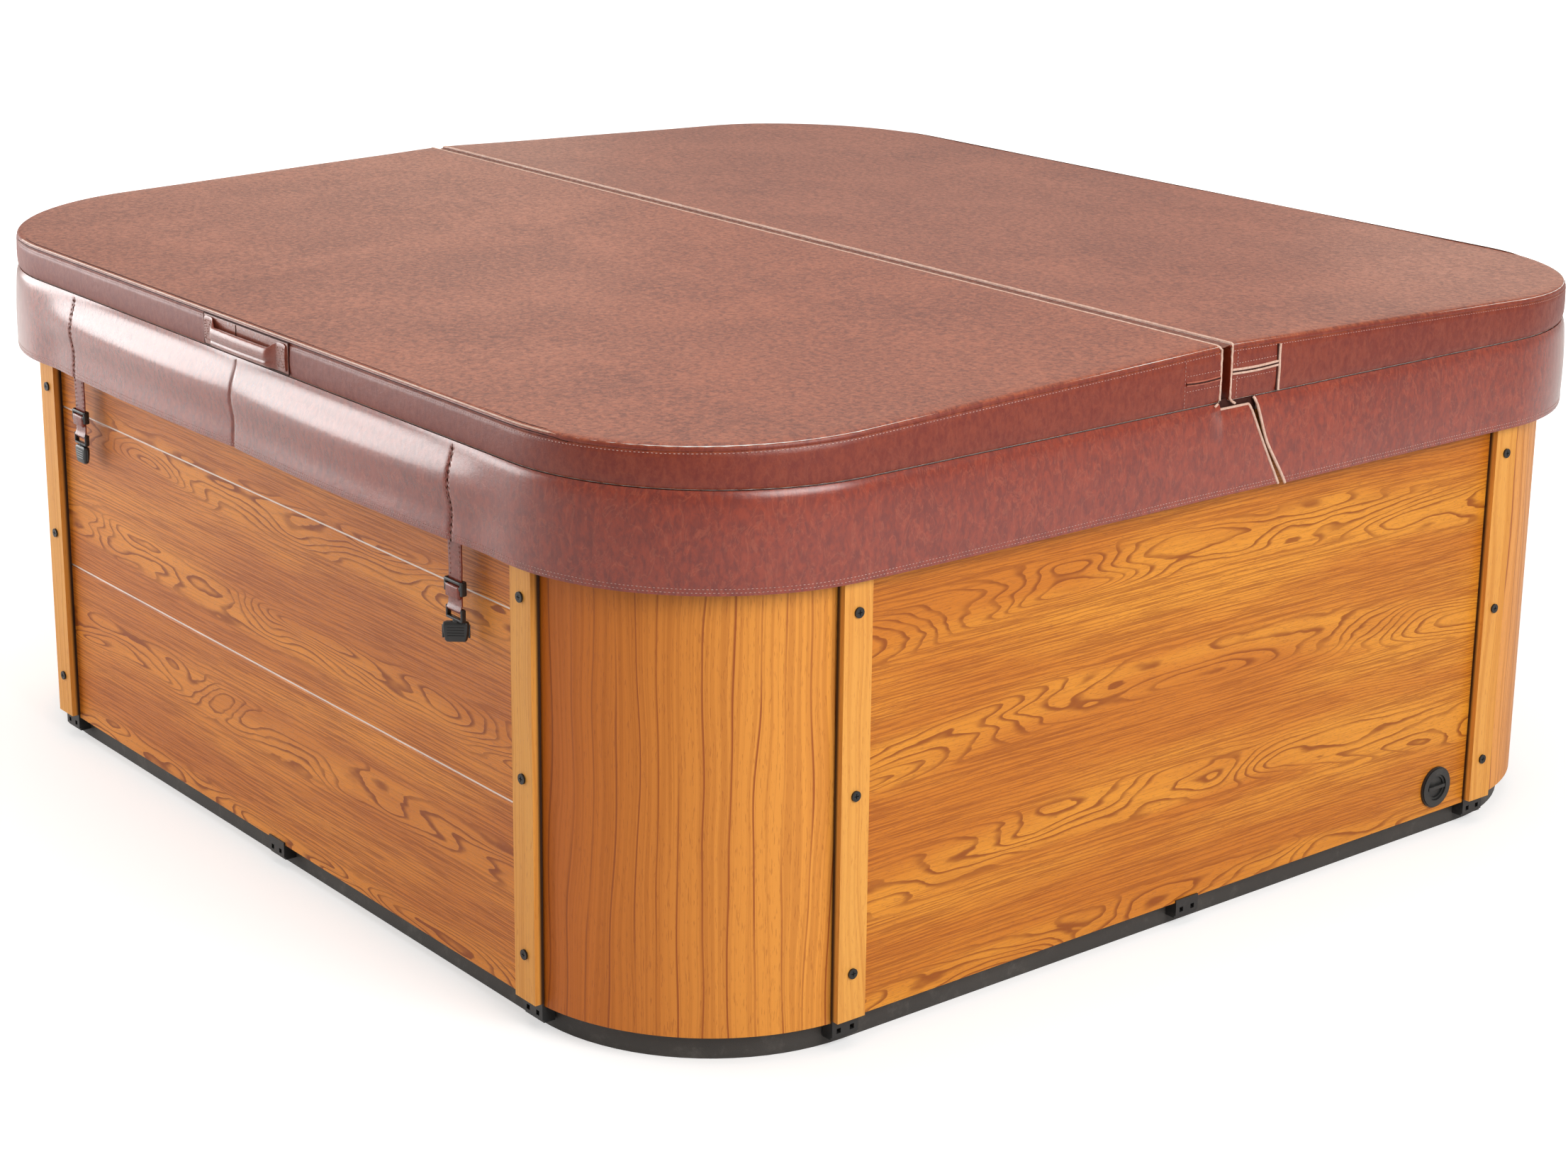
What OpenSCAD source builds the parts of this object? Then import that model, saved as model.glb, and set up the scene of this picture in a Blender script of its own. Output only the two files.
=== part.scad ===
/* [Overall size] */
// Cabinet length along the cover's hinge, over the side panels
cabinet_l = 2184; // [2000:2:2500]
// Cabinet width, over the front and back panels
cabinet_w = 2084; // [1900:2:2400]
// Height of the tub's rim above the floor
rim_z = 872; // [850:1:1000]
// Outer radius of the cabinet's corners
corner_r = 340; // [280:5:380]

/* [Cabinet] */
// Thickness of the side and corner panels
panel_t = 12; // [8:1:18]
// Height of the panels' lower edge above the floor
panel_z = 42; // [36:1:60]
// Gap between two panels under a batten
panel_gap = 2; // [1:0.5:4]
// Height of one plank of the front panel
plank_h = 299; // [200:1:320]
// Width of the groove between two planks
groove_w = 6; // [3:1:12]
// Width of the trim battens
batten_w = 52; // [40:1:70]
// Thickness of the trim battens
batten_t = 16; // [10:1:18]
// Distance from a batten's middle to the next side's panel face
batten_in = 326; // [300:1:340]
// Height of the lowest batten screw
screw_z = 122; // [90:1:160]
// Height from one batten screw to the next
screw_pitch = 276.5; // [200:0.5:300]
// Radius of a batten screw's head
screw_head_r = 8; // [6:0.5:10]
// Radius of a batten screw's shank
screw_r = 2.5; // [2:0.25:3]

/* [Base and frame] */
// Inset of the base pan's wall from the panel faces
base_in = 20; // [18:1:26]
// Wall thickness of the base pan
base_t = 5; // [3:0.5:8]
// Height of the sill board on the base pan's wall
sill_h = 14; // [10:1:20]
// Side of the frame's timbers
timber = 38; // [30:1:40]
// Width of a base clip
clip_w = 50; // [36:1:60]
// Radius of the hole for the power conduit
conduit_r = 17; // [12:0.5:25]

/* [Tub shell] */
// Overhang of the rim past the panel faces
rim_out = 14; // [8:1:15]
// Width of the raised rim
rim_w = 90; // [80:1:100]
// Thickness of the rim and the deck
rim_t = 8; // [6:0.5:10]
// Height of the rolled edge of the rim
roll_h = 24; // [20:1:30]
// Depth of the deck below the rim
deck_drop = 16; // [15:1:18]
// Thickness of the moulded walls
shell_t = 6; // [4:0.5:8]
// Distance from the bowl's wall to the cabinet's panel faces
bowl_in = 242; // [238:1:260]
// Corner radius of the bowl
bowl_r = 240; // [150:5:260]
// Height of the benches
bench_z = 430; // [400:5:480]
// Depth of the corner seats below the benches
seat_drop = 40; // [20:5:60]
// Width of a corner seat
seat_w = 400; // [360:5:440]
// Width of the benches
bench_w = 370; // [330:5:400]
// Corner radius of the footwell
footwell_r = 140; // [80:5:180]
// Height of the footwell's floor
footwell_z = 96; // [90:1:130]

/* [Fittings] */
// Radius of a fixed jet's face
jet_r = 30; // [24:1:36]
// Radius of a fixed jet's barrel
jet_barrel_r = 20; // [14:1:22]
// Radius of a rotary jet's face
rotary_r = 60; // [50:1:70]
// Radius of a rotary jet's spinning nozzle
nozzle_r = 40; // [30:1:44]
// Height of the jets
jet_z = 620; // [580:5:680]
// Distance between the outer two fixed jets of a pair
jet_pitch = 140; // [120:5:160]
// Radius of a suction cover
suction_r = 62; // [50:1:70]
// Radius of the footwell drain grate
grate_r = 45; // [35:1:60]
// Radius of the footwell light's lens
light_r = 62; // [45:1:70]
// Length of the control panel
control_l = 180; // [150:2:220]
// Width of the control panel
control_w = 96; // [80:2:110]
// Radius of a button
button_r = 11; // [8:0.5:13]
// Travel of a button
button_travel = 1.5; // [1:0.1:2]
// Radius of the air knob
air_knob_r = 24; // [18:1:30]
// Radius of the diverter knob
diverter_r = 40; // [30:1:46]
// Length of a pillow
pillow_l = 300; // [240:5:340]
// Height of a pillow
pillow_h = 110; // [90:5:130]
// Thickness of a pillow
pillow_t = 36; // [28:1:45]

/* [Filter] */
// Outer radius of the filter bucket
bucket_r = 72; // [66:1:74]
// Depth of the filter bucket below the deck
bucket_h = 300; // [260:5:340]
// Radius of the filter cartridge
cartridge_r = 52; // [40:1:54]
// Radius of the filter lid
lid_r = 76; // [75:0.5:79]
// Width of the skimmer's throat
throat_w = 90; // [60:2:100]
// Height of the skimmer's throat
throat_h = 80; // [60:2:90]

/* [Pump and heater] */
// Radius of the pump's wet end
wet_end_r = 88; // [80:1:96]
// Radius of the pump motor
motor_r = 78; // [65:1:84]
// Length of the pump motor
motor_l = 240; // [200:5:280]
// Radius of the pump's impeller
impeller_r = 62; // [50:1:66]
// Radius of the pump's shaft
shaft_r = 8; // [6:0.5:10]
// Outer radius of the water pipes
pipe_r = 24; // [18:1:28]
// Outer radius of the drain hose
hose_r = 11; // [8:0.5:14]
// Radius of the heater tube
heater_r = 32; // [30:1:40]
// Length of the heater tube
heater_l = 300; // [240:5:340]

/* [Drain valve] */
// Distance of the drain valve from the back panel's face
drain_in = 430; // [402:1:520]
// Height of the drain valve's middle
drain_z = 90; // [88:1:120]
// Radius of the drain valve's flange
drain_r = 36.5; // [32:0.5:42]
// Radius of the drain valve's cap
drain_cap_r = 23; // [21:0.5:26]
// Radius of the drain valve's bore
drain_bore_r = 18; // [14:0.5:19]

/* [Cover] */
// Overhang of the cover past the panel faces
cover_over = 26; // [24:0.5:40]
// Thickness of the cover at its hinge
cover_ridge_t = 92; // [75:1:130]
// Thickness of the cover at its front and back edges
cover_edge_t = 62; // [50:1:90]
// Thickness of the vinyl jackets
jacket_t = 2; // [1:0.5:3]
// Gap between the two halves at the hinge
hinge_gap = 20; // [12:1:30]
// Length of the skirt below the cover
skirt_h = 148; // [110:1:160]
// Thickness of the skirt with its hem
skirt_t = 3; // [2:0.5:4]
// How far the skirt's middle swells outward
skirt_swell = 6; // [2:1:10]
// How far the front skirt billows between its seams
skirt_billow = 14; // [0:1:25]
// Distance of the outer front seams and straps from the side panels' faces
seam_in = 480; // [440:1:560]
// Place of the slit between the skirts at its top, behind the hinge
slit_top_y = 56; // [40:1:90]
// Place of the slit between the skirts at the hem, behind the hinge
slit_hem_y = 128; // [100:1:180]

/* [Handle and straps] */
// Length of the carrying handle
handle_l = 262; // [200:2:300]
// Height of the carrying handle's grip
handle_h = 24; // [18:1:30]
// Thickness of the carrying handle's grip
handle_t = 8; // [6:0.5:12]
// Gap for the fingers behind the grip
handle_gap = 12; // [8:1:20]
// Width of a tie-down strap
strap_w = 36; // [24:1:44]
// Length of a tie-down strap below the hem
strap_l = 104; // [70:1:140]
// Thickness of a tie-down strap
strap_t = 2.5; // [2:0.25:4]
// Height of a strap buckle
buckle_h = 50; // [40:1:60]
// Turn of the right strap's buckle about its strap
buckle_turn = 50; // [0:5:70]

/* [Hidden] */
$fn = 96;
// Running gap of pieces that turn in each other
run = 0.08;
// Gap that keeps two curved or soft faces apart
ease = 0.3;
// Gap round a fitting in its hole
hole_gap = 0.5;
panel_top = rim_z - rim_t - 2;
rim_l = cabinet_l + 2 * rim_out;
rim_d = cabinet_w + 2 * rim_out;
rim_r = corner_r + rim_out;
roll_z = rim_z - roll_h;
batten_z = panel_z + 6;
batten_top = roll_z - 1;
sill_z = panel_z + 4;
sill_top = sill_z + sill_h;
top_rail_z = rim_z - rim_t - timber;
post_y = panel_t + 3;
deck_z = rim_z - deck_drop;
deck_under = deck_z - rim_t;
deck_l = rim_l - 2 * rim_w;
deck_w = rim_d - 2 * rim_w;
deck_r = rim_r - rim_w;
bowl_l = cabinet_l - 2 * bowl_in;
bowl_w = cabinet_w - 2 * bowl_in;
seat_z = bench_z - seat_drop;
footwell_l = bowl_l - 2 * bench_w;
footwell_w = bowl_w - 2 * bench_w;
wall_back_x = bowl_l / 2 + shell_t;
wall_back_y = bowl_w / 2 + shell_t;
deck_mid_y = (deck_w / 2 + bowl_w / 2) / 2;
jet_flange_t = 4;
jet_l = 50;
run_x = wall_back_x + jet_l + ease + pipe_r;
run_y = wall_back_y + jet_l + ease + pipe_r;
// Places of the fixed jets along the side walls and the back wall
side_jets = [-350 - jet_pitch / 2, -350 + jet_pitch / 2, 350 - jet_pitch / 2, 350 + jet_pitch / 2];
back_jets = [-350 - jet_pitch / 2, -350 + jet_pitch / 2, 350 - jet_pitch / 2, 350 + jet_pitch / 2];
rotor_t = 14;
suction_x = 150;
suction_z = 190;
suction_y = footwell_w / 2;
fitting_t = 14;
light_z = 300;
control_t = 8;
button_proud = 2;
button_x = control_l / 2 - 32;
knob_x = control_l / 2 + 110;
knob_stem_r = 9;
knob_h = 13;
bucket_y = deck_w / 2 - lid_r - 1.5;
bucket_wall = 4;
bucket_foot = deck_under - bucket_h;
lid_t = 6;
throat_z = deck_under - throat_h - 20;
weir_t = 3;
weir_y = wall_back_y + 3;
weir_z = throat_z + 8;
weir_h = throat_h - 26;
pump_y = -(cabinet_w / 2 - 300);
pump_z = wet_end_r + 32;
wet_l = 120;
wet_x = -wet_l / 2;
inlet_l = 30;
pipe_t = 4;
// Radius of a pipe's round elbow, as a multiple of the pipe's radius
elbow_k = 1.6;
outlet_z = pump_z + wet_end_r + 25;
return_z = outlet_z + 70;
heater_x = -640;
drain_hose_z = 62;
drain_l = 48;
drain_y = cabinet_w / 2 - drain_in;
// Where the drain hose bends, inside the footwell's end and past it
hose_near_x = footwell_l / 2 - 180;
hose_far_x = footwell_l / 2 + 140;
cover_l = cabinet_l + 2 * cover_over;
cover_w = cabinet_w + 2 * cover_over;
cover_r = corner_r + 17;
seam_x = cabinet_l / 2 - seam_in;
// Where the front skirt's billow ends, past the outer seams
billow_end = seam_x + 112;
cover_z = rim_z + ease;
ridge_z = cover_z + cover_ridge_t;
skirt_z = cover_z - skirt_h;
skirt_rows = 6;
hem_out = 5;
flap_drop = 10;
channel_t = 1.5;
channel_w = 30;
channel_h = cover_ridge_t - 24;
handle_x = 8;
handle_z = cover_z + cover_edge_t / 2;
pad_w = 34;
strap_y = -(cover_w / 2 + hem_out - skirt_t - ease - strap_t / 2);
strap_z = skirt_z - 2;
strap_over = 10;
buckle_w = strap_w + 4;
buckle_t = 11;
buckle_z = strap_z - strap_l;
slider_h = 22;
vinyl = [0.55, 0.25, 0.19];
wood = [0.78, 0.49, 0.24];
black = [0.08, 0.08, 0.08];
acrylic = [0.86, 0.86, 0.84];

// A rectangle with round corners, about the origin
module rounded(l, w, r) {
  square([l - 2 * r, w], center = true);
  square([l, w - 2 * r], center = true);
  for (x = [-1, 1], y = [-1, 1])
    translate([x * (l / 2 - r), y * (w / 2 - r)])
      circle(r);
}

// A rounded slab from height z0 to height z1
module slab(l, w, r, z0, z1) {
  translate([0, 0, z0])
    linear_extrude(z1 - z0)
      rounded(l, w, r);
}

// A rounded ring of the given width from height z0 to height z1
module ring(l, w, r, width, z0, z1) {
  difference() {
    slab(l, w, r, z0, z1);
    slab(l - 2 * width, w - 2 * width, r - width, z0 - 1, z1 + 1);
  }
}

// Sides are numbered 0 front, 1 right, 2 back, 3 left
function side_far(i) = i % 2 == 0 ? cabinet_w / 2 : cabinet_l / 2;
function side_half(i) = i % 2 == 0 ? cabinet_l / 2 : cabinet_w / 2;

// Places children on a side: X along it, Y inward from the panel's face
module on_side(i) {
  rotate([0, 0, 90 * i])
    translate([0, -side_far(i), 0])
      children();
}

// A cylinder along +X from the origin
module rod_x(r, l) {
  rotate([0, 90, 0])
    cylinder(r = r, h = l);
}

// A cylinder along +Y from the origin
module rod_y(r, l) {
  rotate([-90, 0, 0])
    cylinder(r = r, h = l);
}

// A pipe of radius r along straight legs, with stouter round elbows
module pipe_run(points, r) {
  for (i = [0:len(points) - 2]) {
    leg = points[i + 1] - points[i];
    translate(points[i])
      rotate([0, acos(leg[2] / norm(leg)), atan2(leg[1], leg[0])])
        cylinder(r = r, h = norm(leg));
  }
  for (i = [1:1:len(points) - 2])
    translate(points[i])
      sphere(r * elbow_k);
}

// Holes for the three screws of each batten, in a side's own directions
module batten_holes(i, r) {
  on_side(i)
    for (side = [-1, 1], k = [0:2])
      translate([side * (side_half(i) - batten_in), -batten_t - 1, screw_z + k * screw_pitch])
        rod_y(r, batten_t + post_y + 12);
}

module base_pan() {
  l = cabinet_l - 2 * base_in;
  w = cabinet_w - 2 * base_in;
  r = corner_r - base_in;
  color([0.2, 0.19, 0.18])
    difference() {
      slab(l, w, r, 0, sill_z);
      slab(l - 2 * base_t, w - 2 * base_t, r - base_t, base_t, sill_z + 1);
      translate([-conduit_x(), -conduit_y(), -1])
        cylinder(r = conduit_r, h = base_t + 2);
    }
}

function conduit_x() = cabinet_l / 2 - corner_r - 80;
function conduit_y() = cabinet_w / 2 - base_in - 65;

// One bracket that holds a panel's lower edge to the base pan
module base_clip(front) {
  difference() {
    union() {
      translate([-clip_w / 2, 0, panel_z - 26])
        cube([clip_w, base_in - 0.05, 26]);
      translate([-clip_w / 2, -3, panel_z - 22])
        cube([clip_w, 3, front - panel_z + 22]);
    }
    for (x = [-1, 1])
      translate([x * clip_w / 4 - 4, -4, panel_z - 17])
        cube([8, 10, 8]);
  }
}

module base_clips() {
  color(black)
    for (i = [0:3])
      on_side(i) {
        base_clip(panel_z + 5);
        for (side = [-1, 1])
          translate([side * (side_half(i) - batten_in), 0, 0])
            base_clip(batten_z);
      }
}

module support_frame() {
  l = cabinet_l - 2 * (panel_t + ease);
  w = cabinet_w - 2 * (panel_t + ease);
  r = corner_r - panel_t - ease;
  color([0.8, 0.68, 0.48])
    difference() {
      union() {
        ring(l, w, r, timber, sill_z, sill_top);
        ring(l, w, r, timber, top_rail_z, rim_z - rim_t);
        for (i = [0:3])
          on_side(i)
            for (x = [-1, 0, 1])
              translate([x * (side_half(i) - batten_in) - timber / 2, post_y, sill_top - 1])
                cube([timber, timber, top_rail_z - sill_top + 2]);
      }
      for (i = [0:3])
        batten_holes(i, screw_r);
    }
}

// A flat panel between two corner panels
module side_panel(i) {
  half = side_half(i) - corner_r - panel_gap / 2;
  on_side(i)
    translate([-half, 0, panel_z])
      cube([2 * half, panel_t, panel_top - panel_z]);
}

// Grooves that part a panel into planks
module plank_grooves(i) {
  on_side(i)
    for (k = [1:2])
      translate([0, 0, panel_z + k * plank_h])
        rotate([45, 0, 0])
          cube([2 * side_half(i), groove_w / sqrt(2), groove_w / sqrt(2)], center = true);
}

module front_panel() {
  color(wood)
    difference() {
      side_panel(0);
      plank_grooves(0);
    }
}

module right_panel() {
  color(wood)
    difference() {
      side_panel(1);
      translate([cabinet_l / 2 - panel_t - 1, drain_y, drain_z])
        rod_x(drain_barrel_r() + hole_gap, panel_t + 2);
    }
}

function drain_barrel_r() = drain_cap_r + 2;

module back_panel() {
  color(wood)
    difference() {
      side_panel(2);
      plank_grooves(2);
    }
}

module left_panel() {
  color(wood)
    side_panel(3);
}

// A quarter-round corner panel; sx and sy give its corner
module corner_panel(sx, sy) {
  cx = cabinet_l / 2 - corner_r;
  cy = cabinet_w / 2 - corner_r;
  color(wood)
    difference() {
      intersection() {
        ring(cabinet_l, cabinet_w, corner_r, panel_t, panel_z, panel_top);
        translate([sx > 0 ? cx + panel_gap / 2 : -cx - panel_gap / 2 - corner_r,
                   sy > 0 ? cy + panel_gap / 2 : -cy - panel_gap / 2 - corner_r, 0])
          cube([corner_r, corner_r, rim_z]);
      }
      for (i = [0:3])
        batten_holes(i, screw_r);
    }
}

module corner_battens() {
  color([0.86, 0.63, 0.36])
    difference() {
      for (i = [0:3])
        on_side(i)
          for (side = [-1, 1])
            translate([side * (side_half(i) - batten_in) - batten_w / 2, -batten_t, batten_z])
              cube([batten_w, batten_t, batten_top - batten_z]);
      for (i = [0:3])
        batten_holes(i, screw_r);
    }
}

// A pan-head screw with a crossed slot, along +Y
module batten_screw() {
  difference() {
    union() {
      rod_y(screw_r - 0.05, batten_t + post_y + 10);
      translate([0, -3, 0])
        rod_y(screw_head_r, 3);
    }
    for (a = [0, 90])
      rotate([0, a, 0])
        translate([-4, -4, -0.7])
          cube([8, 3, 1.4]);
  }
}

module batten_screws() {
  color(black)
    for (i = [0:3])
      on_side(i)
        for (side = [-1, 1], k = [0:2])
          translate([side * (side_half(i) - batten_in), -batten_t, screw_z + k * screw_pitch])
            batten_screw();
}

// The corner seats, sunk into the benches; grow makes room for the wall
module corner_seats(grow, z0, z1) {
  for (x = [-1, 1], y = [-1, 1])
    translate([x * (bowl_l / 2 - 30 - seat_w / 2), y * (bowl_w / 2 - 30 - seat_w / 2), 0])
      slab(seat_w + 2 * grow, seat_w + 2 * grow, 150 + grow, z0, z1);
}

module tub_shell() {
  color(acrylic)
    difference() {
      union() {
        slab(rim_l, rim_d, rim_r, roll_z, rim_z);
        slab(bowl_l + 2 * shell_t, bowl_w + 2 * shell_t, bowl_r + shell_t,
             bench_z - shell_t, roll_z + 1);
        corner_seats(shell_t, seat_z - shell_t, bench_z);
        slab(footwell_l + 2 * shell_t, footwell_w + 2 * shell_t, footwell_r + shell_t,
             footwell_z - shell_t, bench_z);
      }
      slab(deck_l, deck_w, deck_r, deck_z, rim_z + 1);
      difference() {
        slab(rim_l - 2 * shell_t, rim_d - 2 * shell_t, rim_r - shell_t,
             roll_z - 1, rim_z - rim_t);
        slab(deck_l + 2 * rim_t, deck_w + 2 * rim_t, deck_r + rim_t, roll_z - 2, rim_z);
      }
      difference() {
        slab(deck_l + 2 * rim_t + 1, deck_w + 2 * rim_t + 1, deck_r + rim_t,
             roll_z - 1, deck_under);
        slab(bowl_l + 2 * shell_t, bowl_w + 2 * shell_t, bowl_r + shell_t, roll_z - 2, rim_z);
      }
      slab(bowl_l, bowl_w, bowl_r, bench_z, rim_z + 1);
      corner_seats(0, seat_z, bench_z + 1);
      slab(footwell_l, footwell_w, footwell_r, footwell_z, bench_z + 1);
      shell_holes();
    }
}

// Every hole that a fitting goes through
module shell_holes() {
  for (side = [-1, 1]) {
    for (y = side_jets)
      translate([side * (bowl_l / 2 + shell_t / 2) - shell_t, y, jet_z])
        rod_x(jet_barrel_r + hole_gap, 2 * shell_t);
    translate([side * (bowl_l / 2 + shell_t / 2) - shell_t, 0, jet_z])
      rod_x(nozzle_r + 6 + hole_gap, 2 * shell_t);
    translate([side * suction_x, -suction_y - shell_t - 1, suction_z])
      rod_y(pipe_r + hole_gap, shell_t + 2);
  }
  for (x = back_jets)
    translate([x, bowl_w / 2 - 1, jet_z])
      rod_y(jet_barrel_r + hole_gap, shell_t + 2);
  translate([0, footwell_w / 2 - 1, light_z])
    rod_y(light_r - 12 + hole_gap, shell_t + 2);
  translate([0, 0, footwell_z - shell_t - 1])
    cylinder(r = grate_r - 10 + hole_gap, h = shell_t + 2);
  translate([0, bucket_y, deck_under - 1])
    cylinder(r = bucket_r + hole_gap, h = rim_t + 2);
  translate([-throat_w / 2 - hole_gap, bowl_w / 2 - 1, throat_z - hole_gap])
    cube([throat_w + 2 * hole_gap, shell_t + 2, throat_h + 2 * hole_gap]);
  translate([0, -deck_mid_y, deck_under - 1])
    linear_extrude(rim_t + 2)
      rounded(control_l - 20 + 2 * hole_gap, control_w - 20 + 2 * hole_gap, 20);
  for (x = [-1, 1])
    translate([x * knob_x, -deck_mid_y, deck_under - 1])
      cylinder(r = knob_stem_r + run, h = rim_t + 2);
}

module wall_insulation() {
  color([0.82, 0.84, 0.86])
    for (i = [1, 3])
      on_side(i)
        translate([-(side_half(i) - batten_in), post_y + timber, sill_top + 140])
          cube([2 * (side_half(i) - batten_in), 20, top_rail_z - sill_top - 140]);
}

// A padded head rest on a side wall
module pillow(side) {
  half = pillow_l / 2 - pillow_h / 2;
  color([0.16, 0.16, 0.17])
    translate([side * (bowl_l / 2 - ease), 0, deck_z - pillow_h / 2 - 14])
      hull()
        for (y = [-half, half], u = [0, 1])
          translate([0, y, 0])
            rotate([0, -90 * side, 0])
              cylinder(r = pillow_h / 2 - 12 * u, h = u == 0 ? pillow_t * 0.5 : pillow_t,
                       $fn = 32);
}

module pillow_left() {
  pillow(-1);
}

module pillow_right() {
  pillow(1);
}

module drain_grate() {
  color([0.75, 0.76, 0.78])
    difference() {
      union() {
        translate([0, 0, footwell_z])
          cylinder(r = grate_r, h = 5);
        translate([0, 0, drain_hose_z - hose_r - 2])
          cylinder(r = grate_r - 10, h = footwell_z - drain_hose_z + hose_r + 3);
      }
      translate([0, 0, drain_hose_z - hose_r + 2])
        cylinder(r = grate_r - 14, h = footwell_z - drain_hose_z + hose_r - 2);
      for (a = [0:30:330])
        rotate([0, 0, a])
          translate([grate_r * 0.42, 0, footwell_z - 1])
            cylinder(r = 4, h = 8);
      translate([0, 0, drain_hose_z])
        rod_x(hose_r - 3, grate_r);
    }
}

// A domed suction cover with its wall fitting behind
module suction_cover(side) {
  color([0.75, 0.76, 0.78])
    translate([side * suction_x, -suction_y, suction_z])
      difference() {
        union() {
          rod_y(suction_r, fitting_t);
          translate([0, -40, 0])
            rod_y(pipe_r, 42);
        }
        translate([0, -41, 0])
          rod_y(pipe_r - pipe_t, 42 + fitting_t / 2);
        for (a = [0:30:330])
          rotate([0, a, 0])
            translate([suction_r * 0.72, -1, 0])
              rod_y(5, fitting_t + 2);
        for (a = [0:60:300])
          rotate([0, a, 0])
            translate([suction_r * 0.25, 0, 0])
              rod_y(4, fitting_t + 2);
      }
}

module suction_cover_left() {
  suction_cover(-1);
}

module suction_cover_right() {
  suction_cover(1);
}

module footwell_light() {
  color([0.8, 0.85, 0.9])
    translate([0, footwell_w / 2, light_z]) {
      translate([0, -8, 0])
        rod_y(light_r, 8);
      rod_y(light_r - 12, shell_t + 30);
    }
}

// A jet's face ring and barrel, along +X through a wall at x 0
module jet() {
  difference() {
    union() {
      translate([-jet_flange_t, 0, 0])
        rod_x(jet_r, jet_flange_t);
      rod_x(jet_barrel_r, shell_t + jet_l);
    }
    translate([-jet_flange_t - 1, 0, 0])
      rod_x(9, shell_t + 20);
  }
}

module fixed_jets() {
  color([0.78, 0.79, 0.8]) {
    for (y = side_jets) {
      translate([bowl_l / 2, y, jet_z])
        jet();
      translate([-bowl_l / 2, y, jet_z])
        rotate([0, 0, 180])
          jet();
    }
    for (x = back_jets)
      translate([x, bowl_w / 2, jet_z])
        rotate([0, 0, 90])
          jet();
  }
}

// The housing of a rotary jet, open towards the bowl
module rotary_housing() {
  difference() {
    union() {
      translate([-jet_flange_t, 0, 0])
        rod_x(rotary_r, jet_flange_t);
      rod_x(nozzle_r + 6, shell_t + jet_l);
    }
    translate([-jet_flange_t - 1, 0, 0])
      rod_x(nozzle_r + ease, jet_flange_t + 1 + rotor_t);
    rod_x(10, shell_t + 30);
  }
}

module rotary_jet_housings() {
  color([0.6, 0.62, 0.64])
    for (side = [-1, 1])
      translate([side * bowl_l / 2, 0, jet_z])
        rotate([0, 0, side > 0 ? 0 : 180])
          rotary_housing();
}

// The spinning face of a rotary jet, with two slanted outlets
module rotary_nozzle() {
  difference() {
    union() {
      translate([-jet_flange_t - 3, 0, 0])
        rod_x(nozzle_r, jet_flange_t + 3 + rotor_t - ease);
      rod_x(10 - run, shell_t + 24);
    }
    for (z = [-1, 1])
      translate([-jet_flange_t - 4, 0, z * nozzle_r * 0.5])
        rod_x(9, 14);
  }
}

module rotary_nozzle_left() {
  color([0.82, 0.83, 0.84])
    translate([-bowl_l / 2, 0, jet_z])
      rotate([0, 0, 180])
        rotary_nozzle();
}

module rotary_nozzle_right() {
  color([0.82, 0.83, 0.84])
    translate([bowl_l / 2, 0, jet_z])
      rotary_nozzle();
}

module control_panel() {
  color([0.2, 0.2, 0.22])
    translate([0, -deck_mid_y, deck_z])
      difference() {
        union() {
          linear_extrude(control_t)
            rounded(control_l, control_w, 28);
          translate([0, 0, -rim_t - 18])
            linear_extrude(rim_t + 19)
              rounded(control_l - 20, control_w - 20, 20);
        }
        for (k = [-1:1])
          translate([k * button_x, -control_w / 4, control_t - 6])
            cylinder(r = button_r + ease, h = 10);
        translate([-control_l * 0.32, 0, control_t - 1])
          cube([control_l * 0.64, control_w * 0.3, 2]);
      }
}

// One round push button of the control panel; k is its place from -1 to 1
module button(k) {
  color([0.7, 0.71, 0.72])
    translate([k * button_x, -deck_mid_y - control_w / 4, deck_z + control_t - 6])
      translate([0, 0, button_travel + ease])
        cylinder(r = button_r, h = 6 + button_proud - button_travel - ease);
}

module jets_button() {
  button(-1);
}

module light_button() {
  button(0);
}

module warmth_button() {
  button(1);
}

// A ribbed deck knob on a stem through the deck
module deck_knob(x, r, ribs) {
  translate([x, -deck_mid_y, deck_z]) {
    difference() {
      cylinder(r = r, h = knob_h);
      for (a = [0:360 / ribs:359])
        rotate([0, 0, a])
          translate([r, 0, -1])
            cylinder(r = 4, h = knob_h + 2, $fn = 24);
    }
    translate([-r + 8, -3, knob_h - 1])
      cube([2 * r - 16, 6, 3]);
    translate([0, 0, -rim_t - 20])
      cylinder(r = knob_stem_r, h = rim_t + 21);
  }
}

module air_knob() {
  color([0.7, 0.71, 0.72])
    deck_knob(-knob_x, air_knob_r, 6);
}

module diverter_knob() {
  color([0.7, 0.71, 0.72])
    deck_knob(knob_x, diverter_r, 8);
}

module filter_bucket() {
  color([0.85, 0.85, 0.84])
    difference() {
      union() {
        translate([0, bucket_y, bucket_foot])
          cylinder(r = bucket_r, h = deck_z - bucket_foot);
        translate([0, bucket_y, deck_under - 6])
          cylinder(r = bucket_r + 8, h = 6);
        translate([-throat_w / 2 - 4, wall_back_y, throat_z - 4])
          cube([throat_w + 8, bucket_y - wall_back_y, throat_h + 8]);
      }
      translate([0, bucket_y, bucket_foot + bucket_wall])
        cylinder(r = bucket_r - bucket_wall, h = bucket_h + rim_t + 2);
      translate([-throat_w / 2, wall_back_y - 1, throat_z])
        cube([throat_w, bucket_y - wall_back_y, throat_h]);
      for (side = [-1, 1])
        translate([side * throat_w / 2 - 2, weir_y, weir_z])
          rod_x(2 + run, 4);
    }
}

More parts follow.
